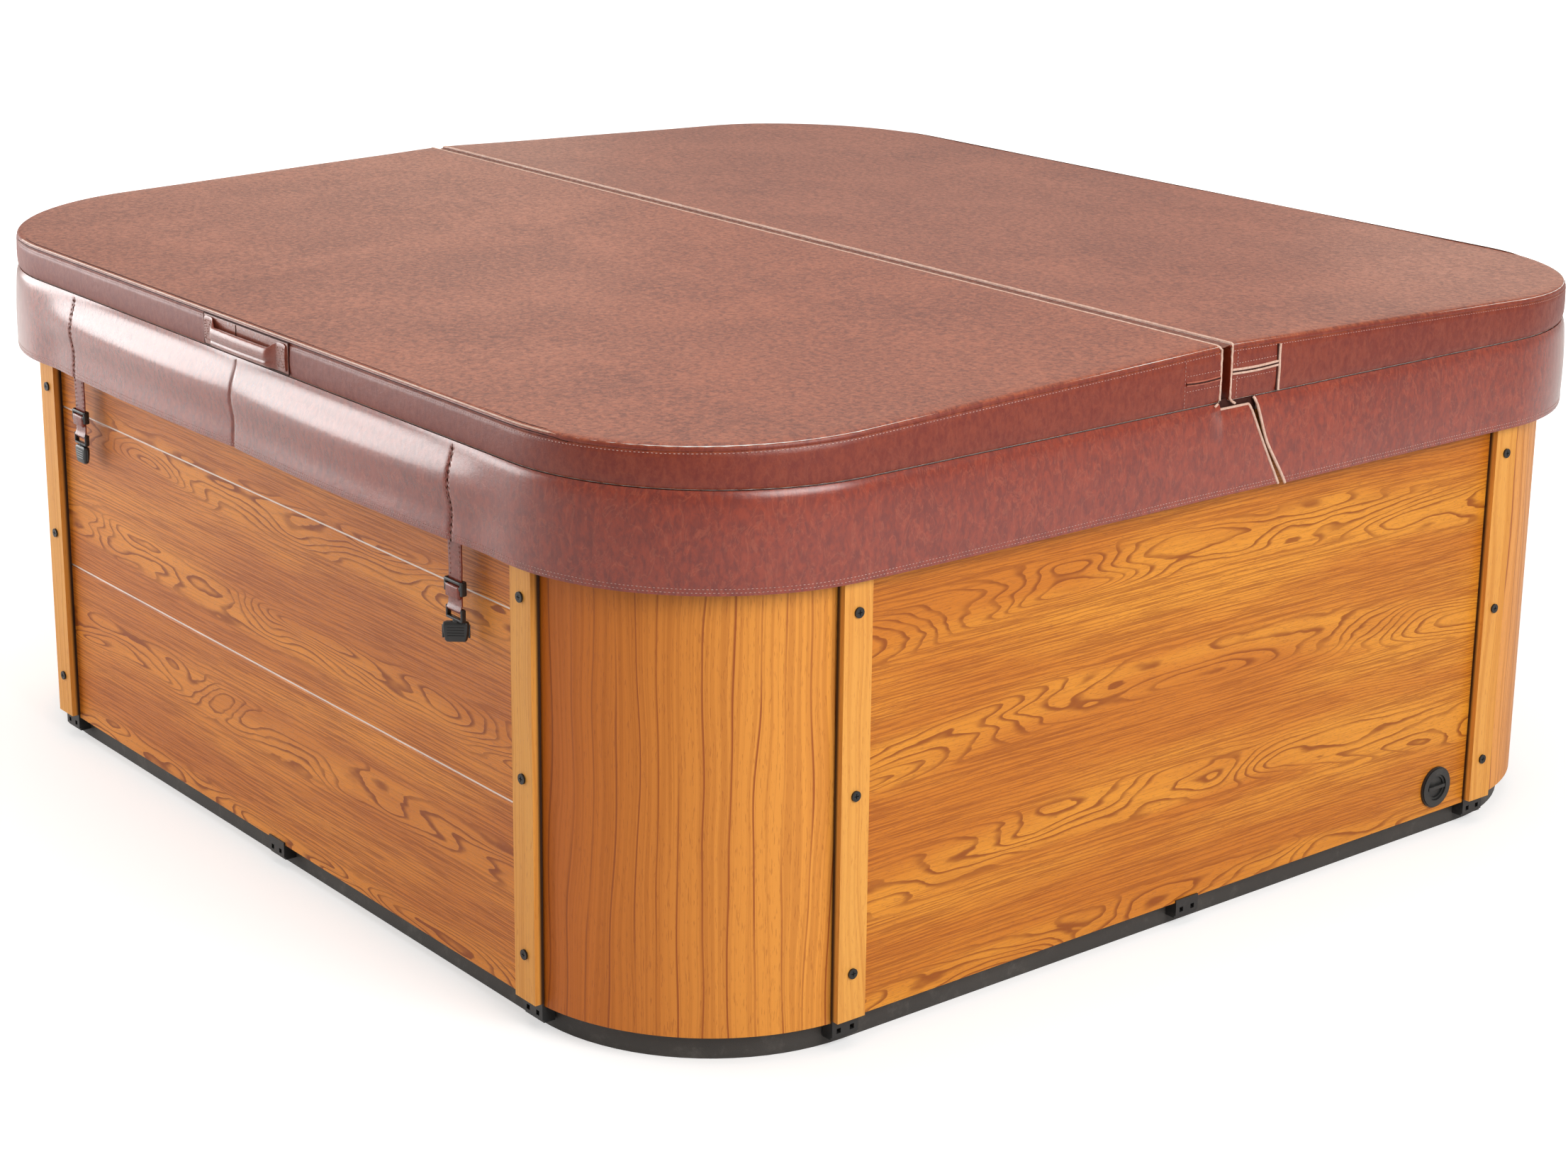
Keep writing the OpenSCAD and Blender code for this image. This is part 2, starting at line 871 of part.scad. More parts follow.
// The filter lid, with two finger hollows
module filter_lid() {
  color([0.6, 0.62, 0.64])
    translate([0, bucket_y, deck_z])
      difference() {
        union() {
          cylinder(r = lid_r, h = lid_t);
          translate([0, 0, -4])
            cylinder(r = bucket_r - bucket_wall - ease, h = 5);
        }
        for (x = [-1, 1])
          translate([x * lid_r * 0.55, 0, lid_t - 3])
            cylinder(r = 13, h = 4);
      }
}

// The skimmer's flap, on two pins in the throat's walls
module filter_weir() {
  color([0.85, 0.85, 0.84])
    translate([0, weir_y, weir_z]) {
      translate([-throat_w / 2 + 1, -weir_t / 2, 0])
        cube([throat_w - 2, weir_t, weir_h]);
      translate([-throat_w / 2 - 1.5, 0, 0])
        rod_x(2, throat_w + 3);
    }
}

// The pleated filter cartridge with its end caps
module filter_cartridge() {
  foot = bucket_foot + bucket_wall;
  color([0.9, 0.92, 0.95])
    translate([0, bucket_y, foot])
      difference() {
        union() {
          cylinder(r = cartridge_r - 3, h = bucket_h - 110);
          for (a = [0:15:345])
            rotate([0, 0, a])
              translate([0, -1.5, 6])
                cube([cartridge_r - 1, 3, bucket_h - 122]);
          for (z = [0, bucket_h - 118])
            translate([0, 0, z])
              cylinder(r = cartridge_r, h = 8);
        }
        translate([0, 0, 8])
          cylinder(r = 18, h = bucket_h);
      }
}

module pump_wet_end() {
  color(black)
    difference() {
      union() {
        translate([wet_x, pump_y, pump_z])
          rod_x(wet_end_r, wet_l);
        translate([wet_x - inlet_l, pump_y, pump_z])
          rod_x(pipe_r + 5, inlet_l + 1);
        translate([0, pump_y, pump_z])
          cylinder(r = pipe_r + 5, h = outlet_z - pump_z);
        translate([-40, pump_y - 50, base_t])
          cube([80, 100, pump_z - wet_end_r]);
      }
      translate([-impeller_t() / 2 - 6, pump_y, pump_z])
        rod_x(impeller_r + 5, impeller_t() + 12);
      translate([wet_x - inlet_l - 1, pump_y, pump_z])
        rod_x(pipe_r - pipe_t, inlet_l + wet_l / 2);
      translate([0, pump_y, pump_z])
        cylinder(r = pipe_r - pipe_t, h = outlet_z - pump_z + 1);
      translate([0, pump_y, pump_z])
        rod_x(shaft_r + run, wet_l);
    }
}

function impeller_t() = 30;

module pump_motor() {
  color([0.25, 0.27, 0.3])
    difference() {
      union() {
        translate([wet_x + wet_l, pump_y, pump_z])
          rod_x(motor_r, motor_l);
        for (k = [1:6])
          translate([wet_x + wet_l + k * motor_l / 8, pump_y, pump_z])
            rod_x(motor_r + 4, 6);
        translate([wet_x + wet_l + 30, pump_y - motor_r, base_t])
          cube([motor_l - 60, 2 * motor_r, 20]);
        translate([wet_x + wet_l + 60, pump_y - 30, base_t])
          cube([motor_l - 120, 60, pump_z - motor_r]);
      }
      translate([wet_x + wet_l - 1, pump_y, pump_z])
        rod_x(shaft_r + run, motor_l - 30);
    }
}

// The impeller with its vanes, on the shaft that the motor turns
module pump_impeller() {
  color([0.55, 0.56, 0.58])
    translate([0, pump_y, pump_z]) {
      translate([impeller_t() / 2 - 6, 0, 0])
        rod_x(impeller_r, 6);
      translate([-impeller_t() / 2, 0, 0])
        rod_x(16, impeller_t());
      for (a = [0:60:300])
        rotate([a, 0, 0])
          translate([-impeller_t() / 2 + 4, 0, -1.5])
            cube([impeller_t() - 6, impeller_r - 2, 3]);
      rod_x(shaft_r, wet_l / 2 + motor_l - 40);
    }
}

module heater() {
  color([0.8, 0.81, 0.82])
    translate([heater_x, pump_y, return_z])
      difference() {
        union() {
          rod_x(heater_r, heater_l);
          for (x = [0, heater_l - 26])
            translate([x, 0, 0])
              rod_x(heater_r + 10, 26);
          translate([heater_l / 2 - 40, -25, heater_r - 6])
            cube([80, 50, 26]);
        }
        translate([-1, 0, 0])
          rod_x(pipe_r - pipe_t, heater_l + 2);
      }
}

module control_box() {
  box_l = 260;
  box_w = 100;
  color([0.3, 0.32, 0.35])
    translate([heater_x - 60, pump_y - 180, base_t])
      difference() {
        union() {
          cube([box_l, box_w, 230]);
          translate([-8, -8, 210])
            cube([box_l + 16, box_w + 16, 14]);
          for (x = [40:45:220])
            translate([x, box_w, 50])
              rod_y(9, 16);
        }
        translate([4, 4, 4])
          cube([box_l - 8, box_w - 8, 200]);
      }
}

// The two suction lines to the pump, and the drain hose under the footwell
module suction_pipes() {
  start_y = -suction_y - 40;
  hose_end = cabinet_l / 2 - drain_l;
  color([0.88, 0.88, 0.86]) {
    pipe_run([
      [suction_x, start_y, suction_z],
      [suction_x, start_y - 50, suction_z],
      [-suction_x, start_y - 50, suction_z],
      [-suction_x, pump_y, pump_z],
      [wet_x - inlet_l, pump_y, pump_z]
    ], pipe_r);
    translate([-suction_x, start_y - 50, suction_z])
      rod_y(pipe_r, 50);
    pipe_run([
      [grate_r - 10, 0, drain_hose_z],
      [hose_near_x, 0, drain_hose_z],
      [hose_far_x, drain_y, drain_hose_z],
      [hose_end - 90, drain_y, drain_z],
      [hose_end, drain_y, drain_z]
    ], hose_r);
  }
}

// The pressure line through the heater and along the backs of the jets
module return_pipes() {
  far_y = bowl_w / 2 - bowl_r;
  color([0.88, 0.88, 0.86]) {
    pipe_run([
      [0, pump_y, outlet_z],
      [0, pump_y, return_z],
      [heater_x + heater_l, pump_y, return_z]
    ], pipe_r);
    pipe_run([
      [heater_x, pump_y, return_z],
      [-run_x, pump_y, return_z],
      [-run_x, -far_y, jet_z],
      [-run_x, run_y, jet_z],
      [-back_jets[2] + jet_pitch / 2, run_y, jet_z]
    ], pipe_r);
    pipe_run([
      [0, pump_y, return_z],
      [run_x, pump_y, return_z],
      [run_x, -far_y, jet_z],
      [run_x, run_y, jet_z],
      [back_jets[2] - jet_pitch / 2, run_y, jet_z]
    ], pipe_r);
  }
}

module drain_valve() {
  color(black)
    translate([cabinet_l / 2, drain_y, drain_z])
      difference() {
        union() {
          rod_x(drain_r - 2, 6);
          rod_x(drain_r, 4);
          translate([-drain_l, 0, 0])
            rod_x(drain_barrel_r(), drain_l + 1);
        }
        translate([-2, 0, 0])
          rod_x(drain_cap_r + ease, 20);
        translate([-drain_l + 6, 0, 0])
          rod_x(drain_bore_r + run, drain_l);
      }
}

// The cap in the drain valve, with its grip bar
module drain_cap() {
  color([0.12, 0.12, 0.12])
    translate([cabinet_l / 2 - 2, drain_y, drain_z]) {
      difference() {
        rod_x(drain_cap_r, 5);
        translate([2, 0, 0])
          rod_x(drain_cap_r - 4, 4);
      }
      translate([0, -drain_cap_r + 2, -3])
        cube([8, 2 * drain_cap_r - 4, 6]);
      translate([-20, 0, 0])
        rod_x(drain_bore_r, 21);
    }
}

// The plan and the tapered height of one cover half, shrunk by inset; side is -1 or 1
module cover_half(side, inset, floor_in) {
  low = cover_z + floor_in;
  near = hinge_gap / 2 + inset;
  far = cover_w / 2;
  intersection() {
    slab(cover_l - 2 * inset, cover_w - 2 * inset, cover_r - inset,
         low, ridge_z + 1);
    rotate([90, 0, 90])
      linear_extrude(cover_l + 2, center = true)
        polygon([
          [side * near, low],
          [side * far, low],
          [side * far, cover_z + cover_edge_t - inset],
          [side * near, ridge_z - inset]
        ]);
  }
}

module cover_jacket(side) {
  color(vinyl)
    difference() {
      cover_half(side, 0, 0);
      cover_half(side, jacket_t, jacket_t);
    }
}

// Steel channel along the hinge edge of a foam core; grow makes its slot
module cover_channel(side, grow) {
  y = hinge_gap / 2 + jacket_t + ease;
  l = cover_l - 2 * cover_r;
  z = cover_z + 8;
  scale([1, side, 1])
    translate([-l / 2 - grow, y - grow, z - grow])
      difference() {
        cube([l + 2 * grow, channel_w + 2 * grow, channel_h + 2 * grow]);
        translate([-1, channel_t + 2 * grow, channel_t + 2 * grow])
          cube([l + 2 * grow + 2, channel_w + 1, channel_h - 2 * channel_t - 2 * grow]);
      }
}

module cover_core(side) {
  color([0.95, 0.95, 0.93])
    difference() {
      cover_half(side, jacket_t + ease, jacket_t);
      cover_channel(side, 0.2);
    }
}

module cover_core_front() {
  cover_core(-1);
}

module cover_core_back() {
  cover_core(1);
}

module cover_jacket_front() {
  cover_jacket(-1);
}

module cover_jacket_back() {
  cover_jacket(1);
}

module cover_channel_front() {
  color([0.7, 0.71, 0.72])
    cover_channel(-1, 0);
}

module cover_channel_back() {
  color([0.7, 0.71, 0.72])
    cover_channel(1, 0);
}

// How far the skirt stands out of the cover's side at share v of its drop
function swell(v) = skirt_swell * sin(180 * v * 0.75) + (hem_out - skirt_swell * 0.7) * v * v;
// The extra billow of the front skirt between its seams at place x
function billow(x, v) = abs(x) > billow_end ? 0
  : skirt_billow * pow(sin(180 * abs(x) / seam_x), 2) * sin(150 * v);
// The slit between the two skirts, at share v of the drop
function slit_y(v) = slit_top_y + (slit_hem_y - slit_top_y) * v;

// Plan points [x, y, out x, out y] of a skirt, from its right slit round to its left
function skirt_plan(v, end) = let(
  lx = cover_l / 2,
  ly = cover_w / 2,
  cx = lx - cover_r,
  cy = ly - cover_r
) concat(
  [for (k = [0:3]) [lx, end + (-cy - end) * pow(k / 4, 1.3), 1, 0]],
  [for (a = [0:11.25:90]) [cx + cover_r * cos(a), -cy - cover_r * sin(a), cos(a), -sin(a)]],
  [for (k = [1:23]) [cx * (1 - k / 12), -ly, 0, -1]],
  [for (a = [0:11.25:90]) [-cx - cover_r * sin(a), -cy - cover_r * cos(a), -sin(a), -cos(a)]],
  [for (k = [3:-1:0]) [-lx, end + (-cy - end) * pow(k / 4, 1.3), -1, 0]]
);

// A hanging skirt as one closed sheet: front rows outside, then the same rows inside
module skirt(top, ends, waves) {
  rows = [for (k = [0:skirt_rows]) k / skirt_rows];
  n = len(skirt_plan(0, ends[0]));
  m = len(rows);
  outer = [for (v = rows) for (p = skirt_plan(v, ends[0] + (ends[1] - ends[0]) * v))
    let(out = swell(v) + (p[3] < -0.99 ? waves * billow(p[0], v) : 0))
    [p[0] + p[2] * out, p[1] + p[3] * out, top - (skirt_h - cover_z + top) * v]];
  inner = [for (v = rows) for (p = skirt_plan(v, ends[0] + (ends[1] - ends[0]) * v))
    let(out = swell(v) + (p[3] < -0.99 ? waves * billow(p[0], v) : 0) - skirt_t)
    [p[0] + p[2] * out, p[1] + p[3] * out, top - (skirt_h - cover_z + top) * v]];
  q = n * m;
  strips = [for (j = [0:m - 2]) for (i = [0:n - 2])
    let(b = j * n + i)
    [b, b + 1, b + n + 1, b + n]];
  sides = concat(
    [for (s = strips) [s[0], s[1], s[2]]],
    [for (s = strips) [s[0], s[2], s[3]]],
    [for (s = strips) [q + s[2], q + s[1], q + s[0]]],
    [for (s = strips) [q + s[3], q + s[2], q + s[0]]]
  );
  edges = concat(
    [for (i = [0:n - 2]) [i + 1, i, q + i]],
    [for (i = [0:n - 2]) [i + 1, q + i, q + i + 1]],
    [for (i = [0:n - 2]) let(b = (m - 1) * n + i) [b, b + 1, q + b]],
    [for (i = [0:n - 2]) let(b = (m - 1) * n + i) [b + 1, q + b + 1, q + b]],
    [for (j = [0:m - 2]) let(b = j * n) [b, b + n, q + b]],
    [for (j = [0:m - 2]) let(b = j * n) [b + n, q + b + n, q + b]],
    [for (j = [0:m - 2]) let(b = j * n + n - 1) [b + n, b, q + b]],
    [for (j = [0:m - 2]) let(b = j * n + n - 1) [b + n, q + b, q + b + n]]
  );
  polyhedron(concat(outer, inner), concat(sides, edges));
}

module cover_skirt_front() {
  color(vinyl)
    skirt(cover_z, [-hinge_gap / 2, -hinge_gap / 2], 1);
  color(vinyl)
    for (x = [-1, 1])
      skirt_flap(x);
}

// The end of the front skirt that reaches past the hinge to the slanted slit
module skirt_flap(side) {
  rows = [for (k = [0:skirt_rows]) k / skirt_rows];
  top = cover_z - flap_drop;
  y0 = -hinge_gap / 2;
  pts = [for (inside = [0, 1]) for (v = rows) for (end = [0, 1])
    [side * (cover_l / 2 + swell((flap_drop + (skirt_h - flap_drop) * v) / skirt_h) - inside * skirt_t),
     end == 0 ? y0 : slit_y(v),
     top - (skirt_h - flap_drop) * v]];
  m = len(rows);
  q = 2 * m;
  faces = concat(
    [for (j = [0:m - 2]) [2 * j, 2 * j + 2, 2 * j + 3]],
    [for (j = [0:m - 2]) [2 * j, 2 * j + 3, 2 * j + 1]],
    [for (j = [0:m - 2]) [q + 2 * j, q + 2 * j + 3, q + 2 * j + 2]],
    [for (j = [0:m - 2]) [q + 2 * j, q + 2 * j + 1, q + 2 * j + 3]],
    [for (j = [0:m - 2]) [2 * j + 2, 2 * j, q + 2 * j]],
    [for (j = [0:m - 2]) [2 * j + 2, q + 2 * j, q + 2 * j + 2]],
    [for (j = [0:m - 2]) [2 * j + 1, 2 * j + 3, q + 2 * j + 1]],
    [for (j = [0:m - 2]) [2 * j + 3, q + 2 * j + 3, q + 2 * j + 1]],
    [[0, 1, q + 1], [0, q + 1, q]],
    [[q - 2, 2 * q - 1, q - 1], [q - 2, 2 * q - 2, 2 * q - 1]]
  );
  polyhedron(pts, side > 0 ? faces : [for (f = faces) [f[2], f[1], f[0]]]);
}

module cover_skirt_back() {
  color(vinyl)
    rotate([0, 0, 180])
      skirt(cover_z, [-slit_top_y - 1, -slit_hem_y - 1], 0);
}

module cover_hinge() {
  y = hinge_gap / 2 - ease;
  color(vinyl)
    translate([-cover_l / 2 + 4, -y, ridge_z - 8])
      cube([cover_l - 8, 2 * y, 5]);
}

// The carrying handle: a grip between two sewn end pads
module cover_handle() {
  y = -cover_w / 2;
  color(vinyl)
    for (x = [-1, 1])
      translate([handle_x + x * (handle_l / 2 - pad_w / 2) - pad_w / 2,
                 y - handle_gap - handle_t, handle_z - handle_h / 2 - 6])
        cube([pad_w, handle_gap + handle_t, handle_h + 12]);
  color(vinyl)
    translate([handle_x - handle_l / 2, y - handle_gap - handle_t, handle_z - handle_h / 2])
      cube([handle_l, handle_t, handle_h]);
}

// A strap, sewn inside the hem and looped round its buckle's bar
module strap(side) {
  color(vinyl)
    translate([side * seam_x, strap_y, 0])
      difference() {
        union() {
          translate([-strap_w / 2, -strap_t / 2, buckle_z + 4])
            cube([strap_w, strap_t, strap_l + strap_over - 4]);
          translate([-strap_w / 2, 0, buckle_z])
            rod_x(2.5 + strap_t, strap_w);
        }
        translate([-strap_w / 2 - 1, 0, buckle_z])
          rod_x(2.5 + run, strap_w + 2);
      }
}

module strap_left() {
  strap(-1);
}

module strap_right() {
  strap(1);
}

// A three-bar slider round a strap
module strap_slider(side) {
  color(black)
    translate([side * seam_x, strap_y, buckle_z + 24])
      difference() {
        translate([-strap_w / 2 - 5, -5, 0])
          cube([strap_w + 10, 10, slider_h]);
        translate([-strap_w / 2 - 0.3, -strap_t / 2 - 0.3, -1])
          cube([strap_w + 0.6, strap_t + 0.6, slider_h + 2]);
        for (z = [4, slider_h - 10])
          translate([-strap_w / 2, -6, z])
            cube([strap_w, 6, 6]);
      }
}

module strap_slider_left() {
  strap_slider(-1);
}

module strap_slider_right() {
  strap_slider(1);
}

// The latch half of a side-release buckle, hung on its bar
module strap_buckle(side, turn) {
  low = -buckle_h;
  color(black)
    translate([side * seam_x, strap_y, buckle_z]) {
      translate([-strap_w / 2 - 3, 0, 0])
        rod_x(2.5, strap_w + 6);
      for (x = [-1, 1])
        translate([x * (strap_w / 2 + 2.5) - 2, -4, -14])
          cube([4, 8, 18]);
      translate([0, 0, -14])
        rotate([0, 0, turn]) {
          translate([-buckle_w / 2 + 1, -buckle_t / 2, -10])
            cube([buckle_w - 2, buckle_t, 6]);
          for (x = [-1, 0, 1])
            translate([x * (buckle_w / 2 - 6) - 4, -buckle_t / 2 + 2, low + 20])
              cube([8, buckle_t - 4, buckle_h - 28]);
        }
      translate([0, 0, -22])
        cylinder(r = buckle_t / 2, h = 9);
      translate([-strap_w / 2 - 4, -4, -17])
        cube([strap_w + 8, 8, 5]);
    }
}

module strap_buckle_left() {
  strap_buckle(-1, 0);
}

module strap_buckle_right() {
  strap_buckle(1, buckle_turn);
}

base_pan();
base_clips();
support_frame();
front_panel();
right_panel();
back_panel();
left_panel();
corner_panel(1, -1);  // corner_panel_front_right
corner_panel(1, 1);  // corner_panel_back_right
corner_panel(-1, 1);  // corner_panel_back_left
corner_panel(-1, -1);  // corner_panel_front_left
corner_battens();
batten_screws();
tub_shell();
wall_insulation();
pillow_left();
pillow_right();
drain_grate();
suction_cover_left();
suction_cover_right();
footwell_light();
fixed_jets();
rotary_jet_housings();
rotary_nozzle_left();
rotary_nozzle_right();
control_panel();
jets_button();
light_button();
warmth_button();
air_knob();
diverter_knob();
filter_bucket();
filter_lid();
filter_weir();
filter_cartridge();
pump_wet_end();
pump_motor();
pump_impeller();
heater();
control_box();
suction_pipes();
return_pipes();
drain_valve();
drain_cap();
cover_core_front();
cover_core_back();
cover_jacket_front();
cover_jacket_back();
cover_skirt_front();
cover_skirt_back();
cover_hinge();
cover_channel_front();
cover_channel_back();
cover_handle();
strap_left();
strap_right();
strap_slider_left();
strap_slider_right();
strap_buckle_left();
strap_buckle_right();
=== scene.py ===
"""A square hot tub: wood cabinet on a black base pan, under a folding vinyl cover with hanging skirts."""
import logging
import math
from collections.abc import Callable
from dataclasses import dataclass, field
from enum import Enum

import bmesh
import bpy
from mathutils import Matrix, Vector, noise


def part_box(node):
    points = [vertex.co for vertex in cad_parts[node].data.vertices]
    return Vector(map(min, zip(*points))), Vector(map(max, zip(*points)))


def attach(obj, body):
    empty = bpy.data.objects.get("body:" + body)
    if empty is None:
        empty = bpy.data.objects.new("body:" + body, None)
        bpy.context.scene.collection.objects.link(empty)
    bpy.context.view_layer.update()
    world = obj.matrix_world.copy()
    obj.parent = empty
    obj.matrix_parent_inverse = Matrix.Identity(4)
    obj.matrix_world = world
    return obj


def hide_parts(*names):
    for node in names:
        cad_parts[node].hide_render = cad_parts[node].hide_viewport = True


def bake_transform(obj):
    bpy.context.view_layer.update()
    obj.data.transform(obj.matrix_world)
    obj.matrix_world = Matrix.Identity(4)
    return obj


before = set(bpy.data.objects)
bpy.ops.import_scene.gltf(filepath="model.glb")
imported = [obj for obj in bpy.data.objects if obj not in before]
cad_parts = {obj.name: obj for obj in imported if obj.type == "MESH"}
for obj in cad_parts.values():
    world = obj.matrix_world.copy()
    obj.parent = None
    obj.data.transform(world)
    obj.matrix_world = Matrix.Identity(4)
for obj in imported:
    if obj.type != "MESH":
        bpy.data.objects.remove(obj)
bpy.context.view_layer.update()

LOG = logging.getLogger("hot_tub")

Point = tuple[float, float, float]
Colour = tuple[float, float, float]
Loop = list[Point]


def between(first: float, second: float, share: float) -> float:
    """Give the value at a share of the way from first to second."""
    return first + (second - first) * share


def ease(value: float, low: float, high: float) -> float:
    """Rise smoothly from 0 at low to 1 at high."""
    share = min(1.0, max(0.0, (value - low) / (high - low)))
    return share * share * (3.0 - 2.0 * share)


def sideways(ahead: Vector) -> Vector:
    """Give a way across a direction, level unless the direction is nearly upright."""
    guide = Vector((0.0, 0.0, 1.0)) if abs(ahead.z) < 0.9 else Vector((0.0, 1.0, 0.0))
    return ahead.cross(guide).normalized()


@dataclass(frozen=True)
class Sewing:
    """How a row of thread dashes is sewn, in metres."""

    pitch: float
    length: float
    radius: float


FINE_ROW = Sewing(pitch=0.0062, length=0.0042, radius=0.0006)
END_ROW = Sewing(pitch=0.0062, length=0.0042, radius=0.0007)
DROP_ROW = Sewing(pitch=0.0085, length=0.0058, radius=0.0008)
GATHERED_ROW = Sewing(pitch=0.0115, length=0.0076, radius=0.0017)
TAB_ROW = Sewing(pitch=0.0046, length=0.0034, radius=0.0008)
STRAP_ROW = Sewing(pitch=0.0075, length=0.0052, radius=0.0008)


class Shape:
    """Points and faces of a piece while it is being made."""

    def __init__(self) -> None:
        """Start with no points and no faces."""
        self.points: Loop = []
        self.faces: list[tuple[int, ...]] = []

    def ring(self, points: Loop) -> list[int]:
        """Add points and give their numbers."""
        start = len(self.points)
        self.points.extend(points)
        return list(range(start, len(self.points)))

    def bridge(self, first: list[int], second: list[int], closed: bool = True) -> None:
        """Join two rows of equal length with four-sided faces."""
        count = len(first)
        for k in range(count if closed else count - 1):
            after = (k + 1) % count
            self.faces.append((first[k], first[after], second[after], second[k]))

    def loft(self, loops: list[Loop], caps: bool = True) -> None:
        """Skin closed loops one after another, with flat caps on both ends."""
        rows = [self.ring(loop) for loop in loops]
        for first, second in zip(rows, rows[1:]):
            self.bridge(first, second)
        if caps:
            self.faces.append(tuple(reversed(rows[0])))
            self.faces.append(tuple(rows[-1]))

    def sheet(self, fronts: list[Loop], backs: list[Loop]) -> None:
        """Make a thin closed sheet from rows of front points and the back points behind them."""
        front = [self.ring(row) for row in fronts]
        back = [self.ring(row) for row in backs]
        for rows in (front, [list(reversed(row)) for row in back]):
            for first, second in zip(rows, rows[1:]):
                self.bridge(first, second, closed=False)
        rim = front[0] + [row[-1] for row in front[1:]]
        rim += list(reversed(front[-1][:-1])) + [row[0] for row in reversed(front[1:-1])]
        behind = back[0] + [row[-1] for row in back[1:]]
        behind += list(reversed(back[-1][:-1])) + [row[0] for row in reversed(back[1:-1])]
        self.bridge(behind, rim)

    def tube(self, path: Loop, radius: float, sides: int = 8) -> None:
        """Sweep a round tube along a path.

        Args:
            path: The points of the tube's middle line.
            radius: The tube's radius.
            sides: How many sides the tube has.
        """
        loops: list[Loop] = []
        line = [Vector(p) for p in path]
        for k, place in enumerate(line):
            ahead = (line[min(k + 1, len(line) - 1)] - line[max(k - 1, 0)]).normalized()
            across = sideways(ahead)
            rise = across.cross(ahead).normalized()
            loops.append([
                tuple(place + across * (radius * math.cos(a)) + rise * (radius * math.sin(a)))
                for a in (2.0 * math.pi * i / sides for i in range(sides))
            ])
        self.loft(loops)

    def stitches(self, path: Loop, row: Sewing) -> None:
        """Lay a row of thread dashes along a path, each a small spindle.

        Args:
            path: The points that the row follows.
            row: How the row is sewn.
        """
        line = [Vector(p) for p in path]
        left = row.pitch / 2.0
        for first, second in zip(line, line[1:]):
            span = (second - first).length
            if span < 1e-9:
                continue
            ahead = (second - first) / span
            half = ahead * row.length / 2
            across = sideways(ahead) * row.radius
            rise = across.cross(ahead)
            while left <= span:
                middle = first + ahead * left
                tips = self.ring([tuple(middle - half), tuple(middle + half)])
                waist = self.ring([tuple(middle + side) for side in (across, rise, -across, -rise)])
                for k in range(4):
                    after = waist[(k + 1) % 4]
                    self.faces.append((tips[0], after, waist[k]))
                    self.faces.append((tips[1], waist[k], after))
                left += row.pitch
            left -= span

    def block(self, middle: Point, size: Point, bevel: float) -> None:
        """Add a box with rounded edges.

        Args:
            middle: The box's middle.
            size: Its full sizes along x, y and z.
            bevel: The radius of its rounding.
        """
        x, y, z = (s / 2.0 for s in size)
        steps = [(0.0, 1.0), (0.5, 0.134), (1.0, 0.0)]
        levels = [(-z + bevel * drop, bevel * inset) for drop, inset in steps]
        levels += [(-height, inset) for height, inset in reversed(levels)]
        self.loft([
            [(middle[0] + px, middle[1] + py, middle[2] + height)
             for px, py in rounded_plan(x - inset, y - inset, bevel)]
            for height, inset in levels
        ])

    def piece(self, name: str, finish: "Finish", body: str | None, slot: str,
              replaces: tuple[str, ...] = (), crease: float = 50.0) -> bpy.types.Object:
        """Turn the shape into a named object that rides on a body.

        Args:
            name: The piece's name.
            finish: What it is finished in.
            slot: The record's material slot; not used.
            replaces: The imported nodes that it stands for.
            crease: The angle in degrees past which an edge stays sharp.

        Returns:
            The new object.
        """
        mesh = bpy.data.meshes.new(name)
        mesh.from_pydata(self.points, [], self.faces)
        work = bmesh.new()
        work.from_mesh(mesh)
        bmesh.ops.recalc_face_normals(work, faces=work.faces)
        work.to_mesh(mesh)
        work.free()
        mesh.shade_smooth()
        mesh.set_sharp_from_angle(angle=math.radians(crease))
        mesh.materials.append(finish.material())
        made = bpy.data.objects.new(name, mesh)
        bpy.context.scene.collection.objects.link(made)
        if replaces:
            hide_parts(*replaces)
        if body is not None:
            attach(made, body)
        LOG.info("%s: %d points", name, len(mesh.vertices))
        return made


def rounded_plan(half_x: float, half_y: float, radius: float, steps: int = 4) -> list[tuple[float, float]]:
    """Give the corner points of a rectangle with round corners, anticlockwise."""
    plan = []
    radius = min(radius, half_x, half_y)
    for turn in range(4):
        sx = 1 if turn in (0, 3) else -1
        sy = 1 if turn in (0, 1) else -1
        for k in range(steps + 1):
            angle = math.pi / 2 * (turn + k / steps)
            plan.append((sx * (half_x - radius) + radius * math.cos(angle),
                         sy * (half_y - radius) + radius * math.sin(angle)))
    return plan


